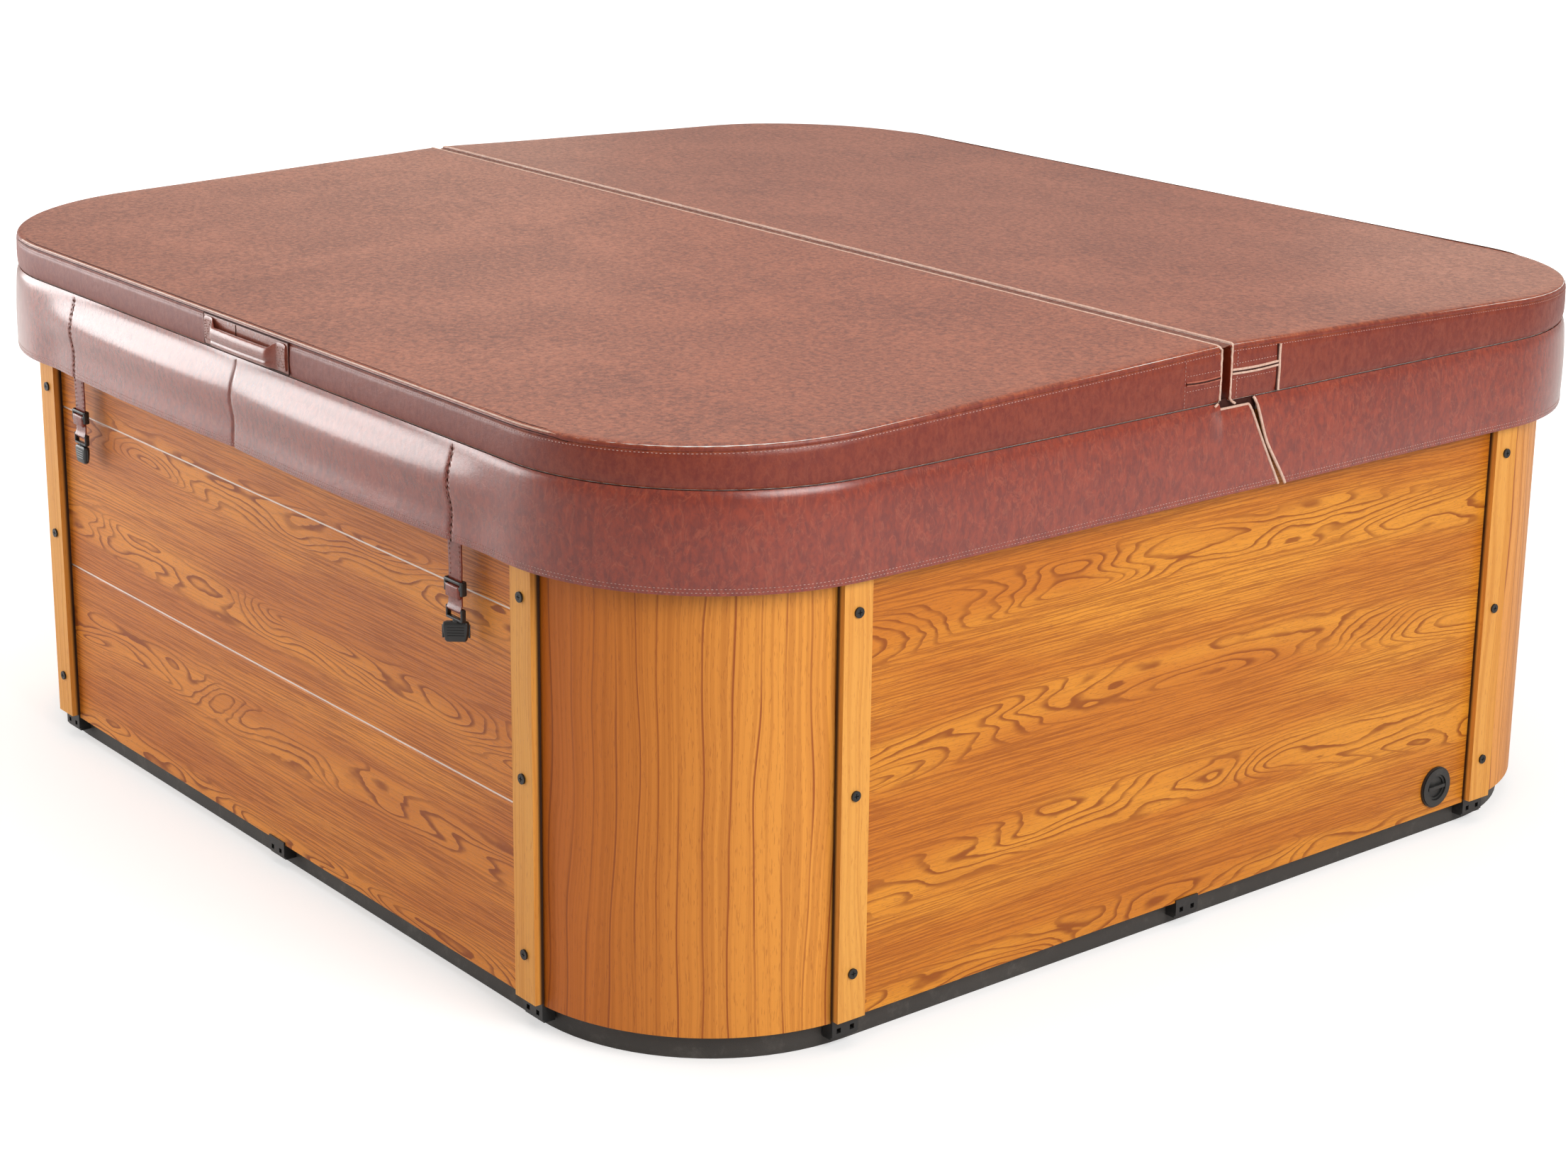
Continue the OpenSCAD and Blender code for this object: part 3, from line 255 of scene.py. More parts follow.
class Wiring:
    """Adds and joins the nodes of one tree."""

    def __init__(self, tree: bpy.types.NodeTree) -> None:
        """Work on a tree."""
        self.tree = tree

    def node(self, kind: str, inputs: dict | None = None, **settings: object) -> bpy.types.Node:
        """Add a node.

        Args:
            kind: The node's type.
            inputs: A plain value or a source for each input, by its name or number.
            **settings: The node's own settings.

        Returns:
            The new node.
        """
        made = self.tree.nodes.new(kind)
        for name, value in settings.items():
            setattr(made, name, value)
        self.dress(made, inputs or {})
        return made

    def dress(self, node: bpy.types.Node, inputs: dict) -> None:
        """Feed several inputs of a node, each by its name or number."""
        for name, value in inputs.items():
            self.feed(node.inputs[name], value)

    def feed(self, socket: bpy.types.NodeSocket, value: object) -> None:
        """Link a source to a socket, or set a plain value on it."""
        if isinstance(value, bpy.types.NodeSocket):
            self.tree.links.new(value, socket)
        elif isinstance(value, tuple) and socket.type == "RGBA":
            socket.default_value = (*value, 1.0)
        else:
            socket.default_value = value

    def calc(self, operation: str, *values: object) -> bpy.types.NodeSocket:
        """Work out a value from others."""
        return self.node("ShaderNodeMath", dict(enumerate(values)), operation=operation).outputs[0]

    def times(self, first: object, second: object) -> bpy.types.NodeSocket:
        """Multiply two values."""
        return self.calc("MULTIPLY", first, second)

    def vector(self, x: object, y: object, z: object = 0.0) -> bpy.types.NodeSocket:
        """Join three values into a vector."""
        return self.node("ShaderNodeCombineXYZ", {0: x, 1: y, 2: z}).outputs[0]

    def noise(self, place: object, scale: float, detail: float = 3.0, roughness: float = 0.5,
              distortion: float = 0.0) -> bpy.types.NodeSocket:
        """Read a noise texture, about 0.5 on average."""
        return self.node("ShaderNodeTexNoise", {
            "Vector": place, "Scale": scale, "Detail": detail,
            "Roughness": roughness, "Distortion": distortion,
        }).outputs[0]

    def board_noise(self, board: tuple, along: float, across: float,
                    *settings: float) -> bpy.types.NodeSocket:
        """Read noise on a board's face.

        Args:
            board: The place along the board, the place across it and its seed.
            along: The noise's scale along the grain.
            across: Its scale across the grain.
            *settings: Its detail, roughness and distortion.

        Returns:
            The noise's value.
        """
        place = self.vector(self.times(board[0], along), self.times(board[1], across), board[2])
        return self.noise(place, 1.0, *settings)

    def rise(self, value: object, low: float, high: float, start: float = 0.0,
             end: float = 1.0) -> bpy.types.NodeSocket:
        """Go smoothly from start to end as a value goes from low to high."""
        return self.node("ShaderNodeMapRange", {
            "Value": value, "From Min": low, "From Max": high, "To Min": start, "To Max": end,
        }, interpolation_type="SMOOTHSTEP").outputs[0]

    def fall(self, value: object, low: float, high: float) -> bpy.types.NodeSocket:
        """Go smoothly from 1 to 0 as a value goes from low to high."""
        return self.rise(value, low, high, 1.0, 0.0)

    def mix(self, share: object, first: object, second: object) -> bpy.types.NodeSocket:
        """Mix two colours."""
        return self.node("ShaderNodeMix", {0: share, 6: first, 7: second}, data_type="RGBA").outputs[2]

    def relief(self, height: object, depth: float, strength: float = 1.0) -> bpy.types.NodeSocket:
        """Make a normal from a height between 0 and 1, for a depth in metres."""
        return self.node("ShaderNodeBump", {
            "Height": height, "Distance": depth, "Strength": strength,
        }).outputs[0]

    def place(self) -> bpy.types.NodeSocket:
        """Give the surface's place in the tub's own directions, in metres."""
        return self.node("ShaderNodeTexCoord").outputs["Object"]

    def axes(self) -> bpy.types.bpy_prop_collection:
        """Give the surface's x, y and z, each as a source."""
        return self.node("ShaderNodeSeparateXYZ", {0: self.place()}).outputs


class Effects:
    """The surface effects that several finishes share, each one node group."""

    made: dict[str, bpy.types.NodeTree] = {}

    @classmethod
    def use(cls, wiring: Wiring, effect: "Effect", **values: object) -> bpy.types.Node:
        """Place an effect in a material.

        Args:
            wiring: The material's wiring.
            effect: Which effect.
            **values: A value or a source for each input of the group.

        Returns:
            The group's node.
        """
        if effect.name not in cls.made:
            cls.made[effect.name] = effect.value[0]()
        node = wiring.node("ShaderNodeGroup", node_tree=cls.made[effect.name])
        for name, value in values.items():
            wiring.feed(node.inputs[name.title()], value)
        return node


class Group(Wiring):
    """Builds the node group of one effect."""

    def __init__(self, name: str, inputs: dict[str, str], outputs: tuple[str, ...]) -> None:
        """Begin the group.

        Args:
            name: The group's name.
            inputs: The socket kind of each input, Float or Vector.
            outputs: The names of its values.
        """
        super().__init__(bpy.data.node_groups.new(name, "ShaderNodeTree"))
        for socket, kind in inputs.items():
            self.tree.interface.new_socket(socket, in_out="INPUT", socket_type=f"NodeSocket{kind}")
        for socket in outputs:
            self.tree.interface.new_socket(socket, in_out="OUTPUT", socket_type="NodeSocketFloat")
        self.given = self.node("NodeGroupInput").outputs
        self.leave = self.node("NodeGroupOutput").inputs

    def give(self, name: str, value: object) -> None:
        """Pass a value out of the group."""
        self.feed(self.leave[name], value)


def plank_figure() -> bpy.types.NodeTree:
    """Build the long flame figure of a sawn plank: growth lines round stretched islands."""
    w = Group("plank_figure", {"Along": "Float", "Across": "Float", "Seed": "Float", "Lines": "Float",
                               "Warp": "Float"}, ("Line", "Tone", "Pores"))
    board = w.given["Along"], w.given["Across"], w.given["Seed"]
    along, across, seed = board
    period = 0.195
    sway = w.noise(w.vector(w.times(along, 0.9), seed), 1.0, 1.0)
    turn = w.calc("MULTIPLY_ADD", sway, 4.5, w.times(across, 2.0 * math.pi / period))
    island = w.rise(w.calc("COSINE", turn), -0.10, -0.85)
    band = w.calc("MULTIPLY_ADD", w.calc("SINE", turn), 0.93 * period / (2.0 * math.pi), across)
    slow = w.board_noise(board, 2.3, 9.5, 1.5, 0.45, 0.30)
    swing = w.times(w.calc("MULTIPLY_ADD", island, 0.75, 0.25), w.given["Warp"])
    warped = w.calc("MULTIPLY_ADD", w.calc("SUBTRACT", slow, 0.5), swing, band)
    ripple = w.calc("SUBTRACT", w.board_noise(board, 13.0, 52.0, 2.0), 0.5)
    height = w.calc("MULTIPLY_ADD", ripple, 0.0085, warped)
    step = w.calc("FRACT", w.times(height, w.given["Lines"]))
    late = w.times(w.rise(step, 0.52, 0.88), w.fall(step, 0.93, 1.0))
    fade = w.rise(w.board_noise(board, 7.0, 45.0), 0.32, 0.55, 0.60, 1.0)
    depth = w.times(fade, w.calc("MULTIPLY_ADD", island, 0.42, 0.58))
    streak = w.rise(w.board_noise(board, 7.0, 400.0, 3.0, 0.6), 0.46, 0.62)
    streaked = w.times(streak, w.calc("MULTIPLY_ADD", island, -0.50, 0.72))
    tone = w.calc("ADD", w.board_noise(board, 1.3, 9.0, 4.0), 0.05)
    fibre = w.board_noise(board, 95.0, 800.0, 2.0, 0.6)
    w.give("Line", w.calc("MAXIMUM", w.times(late, depth), streaked))
    w.give("Tone", w.calc("MULTIPLY_ADD", island, -0.10, tone))
    w.give("Pores", w.rise(fibre, 0.55, 0.68))
    return w.tree


def straight_grain() -> bpy.types.NodeTree:
    """Build the grain of quarter-sawn wood: near-straight lines with a few meandering hairlines."""
    w = Group("straight_grain", {"Along": "Float", "Across": "Float", "Seed": "Float", "Hairs": "Float"},
              ("Line", "Hair", "Pores"))
    board = w.given["Along"], w.given["Across"], w.given["Seed"]
    along, across, seed = board
    height = w.calc("MULTIPLY_ADD", w.board_noise(board, 1.6, 5.0, 2.0), 0.075, across)
    fine = w.board_noise((along, height, seed), 1.2, 170.0, 3.0)
    step = w.calc("FRACT", w.times(height, w.given["Hairs"]))
    hair = w.times(w.rise(step, 0.88, 0.95), w.fall(step, 0.97, 1.0))
    fade = w.rise(w.board_noise(board, 2.0, 20.0), 0.35, 0.6, 0.2, 1.0)
    dash = w.board_noise(board, 55.0, 520.0, 2.0)
    w.give("Line", w.rise(fine, 0.40, 0.66))
    w.give("Hair", w.times(hair, fade))
    w.give("Pores", w.rise(dash, 0.58, 0.70))
    return w.tree


def leather_marble() -> bpy.types.NodeTree:
    """Build the cloudy marbling, fine veins and pebbled skin of pressed leathercloth."""
    w = Group("leather_marble", {"Vector": "Vector", "Streak": "Float"}, ("Mottle", "Veins", "Grain"))
    place = w.given["Vector"]
    stretch = w.vector(1.0, 1.0, w.given["Streak"])
    streaked = w.node("ShaderNodeVectorMath", {0: place, 1: stretch}, operation="MULTIPLY").outputs[0]
    broad = w.noise(streaked, 4.0, 3.0, 0.5, 0.5)
    small = w.noise(streaked, 115.0, 5.0, 0.66, 0.4)
    ridge = w.calc("ABSOLUTE", w.calc("SUBTRACT", w.noise(streaked, 34.0, 4.0, 0.6, 1.0), 0.5))
    cells = w.node("ShaderNodeTexVoronoi", {"Vector": place, "Scale": 900.0}, feature="F1").outputs[0]
    w.give("Mottle", w.calc("ADD", w.times(broad, 0.22), w.times(small, 0.78)))
    w.give("Veins", w.fall(ridge, 0.0, 0.026))
    w.give("Grain", w.calc("MULTIPLY_ADD", w.noise(place, 80.0, 4.0, 0.6), 4.0, cells))
    return w.tree


def mould_texture() -> bpy.types.NodeTree:
    """Build the fine spark texture and faint dust of moulded or coated parts."""
    w = Group("mould_texture", {"Vector": "Vector", "Grain": "Float"}, ("Mottle", "Height", "Dust"))
    place = w.given["Vector"]
    cells = w.node("ShaderNodeTexVoronoi", {"Vector": place, "Scale": w.given["Grain"]}, feature="F1")
    w.give("Mottle", w.noise(place, 7.0, 4.0, 0.6))
    w.give("Height", cells.outputs[0])
    w.give("Dust", w.rise(w.noise(place, 26.0, 5.0, 0.7), 0.5, 0.75))
    return w.tree


class Effect(Enum):
    """The shared effects; each builder stands in a tuple, as an Enum takes a bare one for a method."""

    FIGURE = (plank_figure,)
    GRAIN = (straight_grain,)
    LEATHER = (leather_marble,)
    MOULD = (mould_texture,)


class Run(Enum):
    """The way that a plank's grain runs, as the number of its axis."""

    X = 0
    Y = 1


WOOD_SPECULAR = 0.34


@dataclass(frozen=True)
class Finish:
    """A named surface finish; each kind wires its own colours and relief."""

    name: str

    def material(self) -> bpy.types.Material:
        """Give the finish's material, made on its first use."""
        name = f"finish_{self.name}"
        found = bpy.data.materials.get(name)
        if found is not None:
            return found
        made = bpy.data.materials.new(name)
        made.use_nodes = True
        self.wire(Wiring(made.node_tree), made.node_tree.nodes["Principled BSDF"])
        return made

    def wire(self, w: Wiring, shader: bpy.types.Node) -> None:
        """Wire the finish into the material's shader."""
        raise NotImplementedError


@dataclass(frozen=True)
class FiguredWood(Finish):
    """Oiled planks with a flame figure, and grooves where planks meet, painted pale: partly the groove's raw
    wood, partly a painted highlight.
    """

    run: Run
    seed: float
    light: Colour
    mid: Colour
    dark: Colour
    lines: float = 105.0
    warp: float = 0.20
    grooves: tuple[float, ...] = ()
    groove_half: float = 0.0016
    groove_highlight_colour: Colour = (0.86, 0.76, 0.68)

    def wire(self, w: Wiring, shader: bpy.types.Node) -> None:
        """Wire the figure, the pores and the grooves."""
        axes = w.axes()
        figure = Effects.use(w, Effect.FIGURE, along=axes[self.run.value], across=axes[2],
                             seed=self.seed, lines=self.lines, warp=self.warp).outputs
        ground = w.mix(w.rise(figure["Tone"], 0.36, 0.64), self.light, self.mid)
        lined = w.mix(w.times(figure["Line"], 0.92), ground, self.dark)
        colour = w.mix(w.times(figure["Pores"], 0.35), lined, self.dark)
        # painted highlight: a pale line down each groove, partly the raw wood's own colour and partly light
        # caught on the groove's edges
        for height in self.grooves:
            away = w.calc("ABSOLUTE", w.calc("SUBTRACT", axes[2], height))
            line = w.fall(away, self.groove_half * 0.7, self.groove_half)
            colour = w.mix(line, colour, self.groove_highlight_colour)
        w.dress(shader, {
            "Base Color": colour,
            "Roughness": w.rise(figure["Line"], 0.0, 1.0, 0.40, 0.52),
            "Normal": w.relief(w.calc("ADD", figure["Line"], figure["Pores"]), 0.0004, 0.45),
            "Specular IOR Level": WOOD_SPECULAR,
        })


@dataclass(frozen=True)
class StraightWood(Finish):
    """Oiled upright boards; round a corner the grain is laid out along the bend."""

    seed: float
    light: Colour = (0.800, 0.320, 0.048)
    dark: Colour = (0.340, 0.080, 0.010)
    hairs: float = 27.0
    hair_share: float = 1.0
    bend: tuple[float, float, float] | None = None
    wall: tuple[float, float] | None = None
    warm: Colour = (0.580, 0.150, 0.014)
    wall_shade_colour: Colour = (0.030, 0.012, 0.005)

    def wire(self, w: Wiring, shader: bpy.types.Node) -> None:
        """Wire the grain, the hairlines, the drift of tone (across a bend a painted shade) and a painted
        shade on the side faces next to a wall.
        """
        axes = w.axes()
        across, drift = self.layout(w, axes)
        grain = Effects.use(w, Effect.GRAIN, along=axes[2], across=across, seed=self.seed,
                            hairs=self.hairs).outputs
        ground = w.mix(w.rise(drift, 0.1, 0.95), self.light, self.warm)
        lined = w.mix(w.times(grain["Line"], 0.34), ground, self.dark)
        haired = w.mix(w.times(grain["Hair"], self.hair_share), lined, self.dark)
        colour = w.mix(w.times(grain["Pores"], 0.38), haired, self.dark)
        # painted shade: faces darken towards the wall they stand out from, as the shade between batten and
        # panel
        if self.wall is not None:
            proud = [w.calc("SUBTRACT", w.calc("ABSOLUTE", axes[k]), half)
                     for k, half in enumerate(self.wall)]
            colour = w.mix(w.fall(w.calc("MAXIMUM", *proud), 0.003, 0.010), colour, self.wall_shade_colour)
        w.dress(shader, {
            "Base Color": colour,
            "Roughness": w.rise(grain["Line"], 0.0, 1.0, 0.38, 0.50),
            "Normal": w.relief(w.calc("ADD", grain["Line"], grain["Pores"]), 0.0003, 0.4),
            "Specular IOR Level": WOOD_SPECULAR,
        })

    def layout(self, w: Wiring, axes: bpy.types.bpy_prop_collection) -> tuple:
        """Lay the boards out across a flat wall or along the bend.

        Args:
            w: The material's wiring.
            axes: The surface's x, y and z.

        Returns:
            The place across the boards, and the drift of their tone: noise on a flat wall, and across a bend
            a painted shade.
        """
        if self.bend is None:
            across = w.calc("ADD", axes[0], axes[1])
            return across, w.noise(w.vector(across, axes[2]), 1.7, 2.0)
        middle_x, middle_y, radius = self.bend
        angle = w.calc("ARCTAN2", w.calc("SUBTRACT", axes[1], middle_y),
                       w.calc("SUBTRACT", axes[0], middle_x))
        # painted shade: light where the bend faces the sides, turning warm and darker where it faces front or
        # back
        quarters = w.calc("ADD", w.calc("DIVIDE", angle, math.pi / 2), 2.0)
        return w.times(angle, radius), w.calc("PINGPONG", quarters, 1.0)


@dataclass(frozen=True)
class Vinyl(Finish):
    """Glossy marbled leathercloth, rough where it is deep in colour and smooth where it is pale."""

    deep: Colour
    pale: Colour
    vein: Colour
    rough: float
    smooth: float
    vein_share: float = 0.2
    coat: float = 0.06
    coat_roughness: float = 0.24
    streak: float = 1.0
    specular: float = 0.36
    # colour of a painted shade laid on upright faces
    band: Colour | None = None

    def wire(self, w: Wiring, shader: bpy.types.Node) -> None:
        """Wire the marbling, the gloss and the skin, with a painted shade on upright faces if a band colour
        is given.
        """
        marble = Effects.use(w, Effect.LEATHER, vector=w.place(), streak=self.streak).outputs
        ground = w.mix(w.rise(marble["Mottle"], 0.35, 0.65), self.deep, self.pale)
        colour = w.mix(w.times(marble["Veins"], self.vein_share), ground, self.vein)
        if self.band is not None:
            # painted shade: upright faces mix towards the darker band colour, level faces keep the marbling
            normal = w.node("ShaderNodeTexCoord").outputs["Normal"]
            tilt = w.calc("ABSOLUTE", w.node("ShaderNodeSeparateXYZ", {0: normal}).outputs[2])
            colour = w.mix(w.rise(tilt, 0.35, 0.75, 0.65, 0.0), colour, self.band)
        w.dress(shader, {
            "Base Color": colour,
            "Roughness": w.rise(marble["Mottle"], 0.3, 0.7, self.rough, self.smooth),
            "Normal": w.relief(marble["Grain"], 0.0003, 0.48),
            "Specular IOR Level": self.specular,
            "Coat Weight": self.coat,
            "Coat Roughness": self.coat_roughness,
        })


@dataclass(frozen=True)
class Moulded(Finish):
    """Plastic, painted metal, foam or rubber with a fine skin."""

    colour: Colour
    other: Colour
    roughness: float
    dust: float = 0.0
    grain: float = 900.0
    depth: float = 0.0002
    metallic: float = 0.0
    coat: float = 0.0
    dust_colour: Colour = (0.42, 0.39, 0.35)

    def wire(self, w: Wiring, shader: bpy.types.Node) -> None:
        """Wire the mottled colour, the dust and the skin."""
        skin = Effects.use(w, Effect.MOULD, vector=w.place(), grain=self.grain).outputs
        ground = w.mix(w.rise(skin["Mottle"], 0.38, 0.62), self.colour, self.other)
        w.dress(shader, {
            "Base Color": w.mix(w.times(skin["Dust"], self.dust), ground, self.dust_colour),
            "Roughness": w.rise(skin["Mottle"], 0.3, 0.7, self.roughness, self.roughness + 0.10),
            "Normal": w.relief(skin["Height"], self.depth, 0.4),
            "Metallic": self.metallic,
            "Coat Weight": self.coat,
        })


@dataclass(frozen=True)
class BrushedSteel(Finish):
    """Bare steel with a brushed finish along x."""

    tint: Colour = (0.58, 0.58, 0.57)
    mark: Colour = (0.36, 0.36, 0.37)
    scale: Point = (12.0, 900.0, 900.0)

    def wire(self, w: Wiring, shader: bpy.types.Node) -> None:
        """Wire the brush marks."""
        axes = w.axes()
        marks = w.noise(w.vector(*(w.times(axes[k], scale) for k, scale in enumerate(self.scale))), 1.0, 3.0)
        w.dress(shader, {
            "Base Color": w.mix(marks, self.tint, self.mark),
            "Roughness": w.rise(marks, 0.3, 0.7, 0.26, 0.42),
            "Normal": w.relief(marks, 0.0001, 0.3),
            "Metallic": 1.0,
        })


@dataclass(frozen=True)
class Acrylic(Finish):
    """Polished acrylic with a faint pearl marbling."""

    ground: Colour = (0.78, 0.78, 0.75)
    cloud: Colour = (0.62, 0.64, 0.64)
    fleck: Colour = (0.88, 0.88, 0.86)

    def wire(self, w: Wiring, shader: bpy.types.Node) -> None:
        """Wire the pearl clouds, the flecks and the polish."""
        place = w.place()
        cloud = w.noise(place, 6.0, 6.0, 0.65, 1.6)
        fleck = w.rise(w.noise(place, 260.0, 2.0), 0.58, 0.70)
        tinted = w.mix(w.rise(cloud, 0.40, 0.66), self.ground, self.cloud)
        w.dress(shader, {
            "Base Color": w.mix(w.times(fleck, 0.25), tinted, self.fleck),
            "Roughness": w.rise(cloud, 0.3, 0.7, 0.12, 0.20),
            "Coat Weight": 0.5,
            "Coat Roughness": 0.05,
        })


@dataclass(frozen=True)
class Lens(Finish):
    """Clear ribbed plastic."""

    clear: Colour = (0.80, 0.88, 0.95)
    cloudy: Colour = (0.70, 0.80, 0.90)
    ribs: float = 1400.0

    def wire(self, w: Wiring, shader: bpy.types.Node) -> None:
        """Wire the ribs and the clouds of the lens."""
        cloud = w.noise(w.place(), 30.0)
        w.dress(shader, {
            "Base Color": w.mix(cloud, self.clear, self.cloudy),
            "Roughness": w.rise(cloud, 0.3, 0.7, 0.06, 0.14),
            "Normal": w.relief(w.calc("SINE", w.times(w.axes()[0], self.ribs)), 0.0006, 0.5),
            "Transmission Weight": 0.7,
        })


THREAD = Moulded("thread", colour=(0.62, 0.40, 0.35), other=(0.50, 0.29, 0.25), roughness=0.55, grain=2500.0)
# pale vinyl of painted highlight, for the welts, piping and bound edges of the same dark vinyl
WELT_HIGHLIGHT = Vinyl("welt_painted_highlight", deep=(0.55, 0.32, 0.24), pale=(0.72, 0.50, 0.40), vein=(0.78, 0.60, 0.52),
             rough=0.30, smooth=0.20)
# near-black lines of painted shade, for seam grooves, slots, patch edges and the gap behind the slit
SEAM_SHADE = Vinyl("seam_painted_shade", deep=(0.030, 0.009, 0.007), pale=(0.055, 0.016, 0.012), vein=(0.07, 0.02, 0.015),
             rough=0.7, smooth=0.6, vein_share=0.1, coat=0.0, specular=0.12)
# its band colour is a painted shade on the upright band round the cover
TOP_VINYL = Vinyl("cover_vinyl_top", deep=(0.135, 0.020, 0.008), pale=(0.345, 0.076, 0.026),
                  vein=(0.48, 0.16, 0.08), rough=0.44, smooth=0.34, vein_share=0.30, coat=0.03,
                  streak=0.55, specular=0.50, band=(0.165, 0.008, 0.002))
SKIRT_VINYL = Vinyl("skirt_vinyl", deep=(0.165, 0.014, 0.005), pale=(0.290, 0.032, 0.008),
                    vein=(0.480, 0.120, 0.055), rough=0.27, smooth=0.18, vein_share=0.22, coat=0.78,
                    streak=0.50, specular=0.38)
STRAP_VINYL = Vinyl("strap_vinyl", deep=(0.140, 0.020, 0.010), pale=(0.260, 0.045, 0.024),
                    vein=(0.34, 0.09, 0.06), rough=0.28, smooth=0.20, coat=0.3)
# paler vinyl of painted highlight, for the front zip lips and the middle skirt seam's ridge
LIP_HIGHLIGHT = Vinyl("lip_painted_highlight", deep=(0.300, 0.070, 0.040), pale=(0.430, 0.130, 0.085),
                  vein=(0.500, 0.200, 0.140), rough=0.28, smooth=0.20)
STRIP_VINYL = Vinyl("strip_vinyl", deep=(0.120, 0.030, 0.016), pale=(0.200, 0.060, 0.034),
                    vein=(0.30, 0.12, 0.08), rough=0.36, smooth=0.28)
PATCH_VINYL = Vinyl("patch_vinyl", deep=(0.230, 0.055, 0.034), pale=(0.340, 0.105, 0.070),
                    vein=(0.42, 0.17, 0.12), rough=0.30, smooth=0.22, coat=0.5)
HANDLE_VINYL = Vinyl("handle_vinyl", deep=(0.180, 0.035, 0.020), pale=(0.300, 0.075, 0.048),
                     vein=(0.40, 0.15, 0.11), rough=0.26, smooth=0.18, coat=0.7)
BUCKLE = Moulded("buckle_plastic", colour=(0.014, 0.014, 0.015), other=(0.022, 0.022, 0.023),
                 roughness=0.26, dust=0.04, grain=1400.0, depth=0.0001)
PILLOW = Moulded("pillow_skin", colour=(0.050, 0.050, 0.055), other=(0.075, 0.075, 0.080),
                 roughness=0.55, dust=0.05, grain=500.0, depth=0.0004)


@dataclass(frozen=True)
class Station:
    """A place on an outline, with the way out of it."""

    x: float
    y: float
    out_x: float
    out_y: float

    def at(self, out: float, z: float) -> Point:
        """Give the point that stands out from here at a height."""
        return (self.x + self.out_x * out, self.y + self.out_y * out, z)


@dataclass(frozen=True)
class CoverForm:
    """The outline and the heights that the jackets, the skirts and the seams share, in metres."""

    half_x: float
    half_y: float
    low: float
    ridge: float
    corner: float = 0.357
    edge_height: float = 0.062
    half_gap: float = 0.010

    @classmethod
    def from_frame(cls) -> "CoverForm":
        """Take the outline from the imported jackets."""
        low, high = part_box("cover_jacket_front")
        return cls(high.x, -low.y, low.z, high.z)

    @property
    def mid_x(self) -> float:
        """Give the x of the right corners' middles."""
        return self.half_x - self.corner

    @property
    def mid_y(self) -> float:
        """Give the y of the back corners' middles."""
        return self.half_y - self.corner

    def top(self, y: float) -> float:
        """Give the height of the cover's top at a place y."""
        share = (abs(y) - self.half_gap) / (self.half_y - self.half_gap)
        return self.ridge - (self.ridge - self.low - self.edge_height) * share

    def outline(self, side: int, start: float, straight: list[float]) -> list[Station]:
        """Walk round one half, from its right side to its left side.

        Args:
            side: -1 for the front half and 1 for the back half.
            start: The distance from the hinge's middle at which the walk starts and ends.
            straight: The x places along the front or back edge, falling.

        Returns:
            The stations of the walk.
        """
        along = [between(start, self.mid_y, k / 24) for k in range(24)]
        turns = [math.pi / 2 * k / 24 for k in range(25)]
        right = [Station(self.half_x, side * y, 1, 0) for y in along]
        right += [Station(self.mid_x + self.corner * math.cos(a),
                          side * (self.mid_y + self.corner * math.sin(a)),
                          math.cos(a), side * math.sin(a)) for a in turns]
        left = [Station(-s.x, s.y, -s.out_x, s.out_y) for s in reversed(right)]
        return right + [Station(x, side * self.half_y, 0, side) for x in straight] + left

    def edge_places(self, pitch: float = 0.02, near: tuple[float, ...] = ()) -> list[float]:
        """List x places along a straight edge, closer together near seams."""
        count = round(2 * self.mid_x / pitch)
        places = {round(self.mid_x * (1 - 2 * k / count), 5) for k in range(1, count)}
        for seam in near:
            places |= {round(seam + d, 5) for d in (-0.012, -0.005, -0.0015, 0.0, 0.0015, 0.005, 0.012)}
        return sorted((x for x in places if abs(x) < self.mid_x - 1e-4), reverse=True)


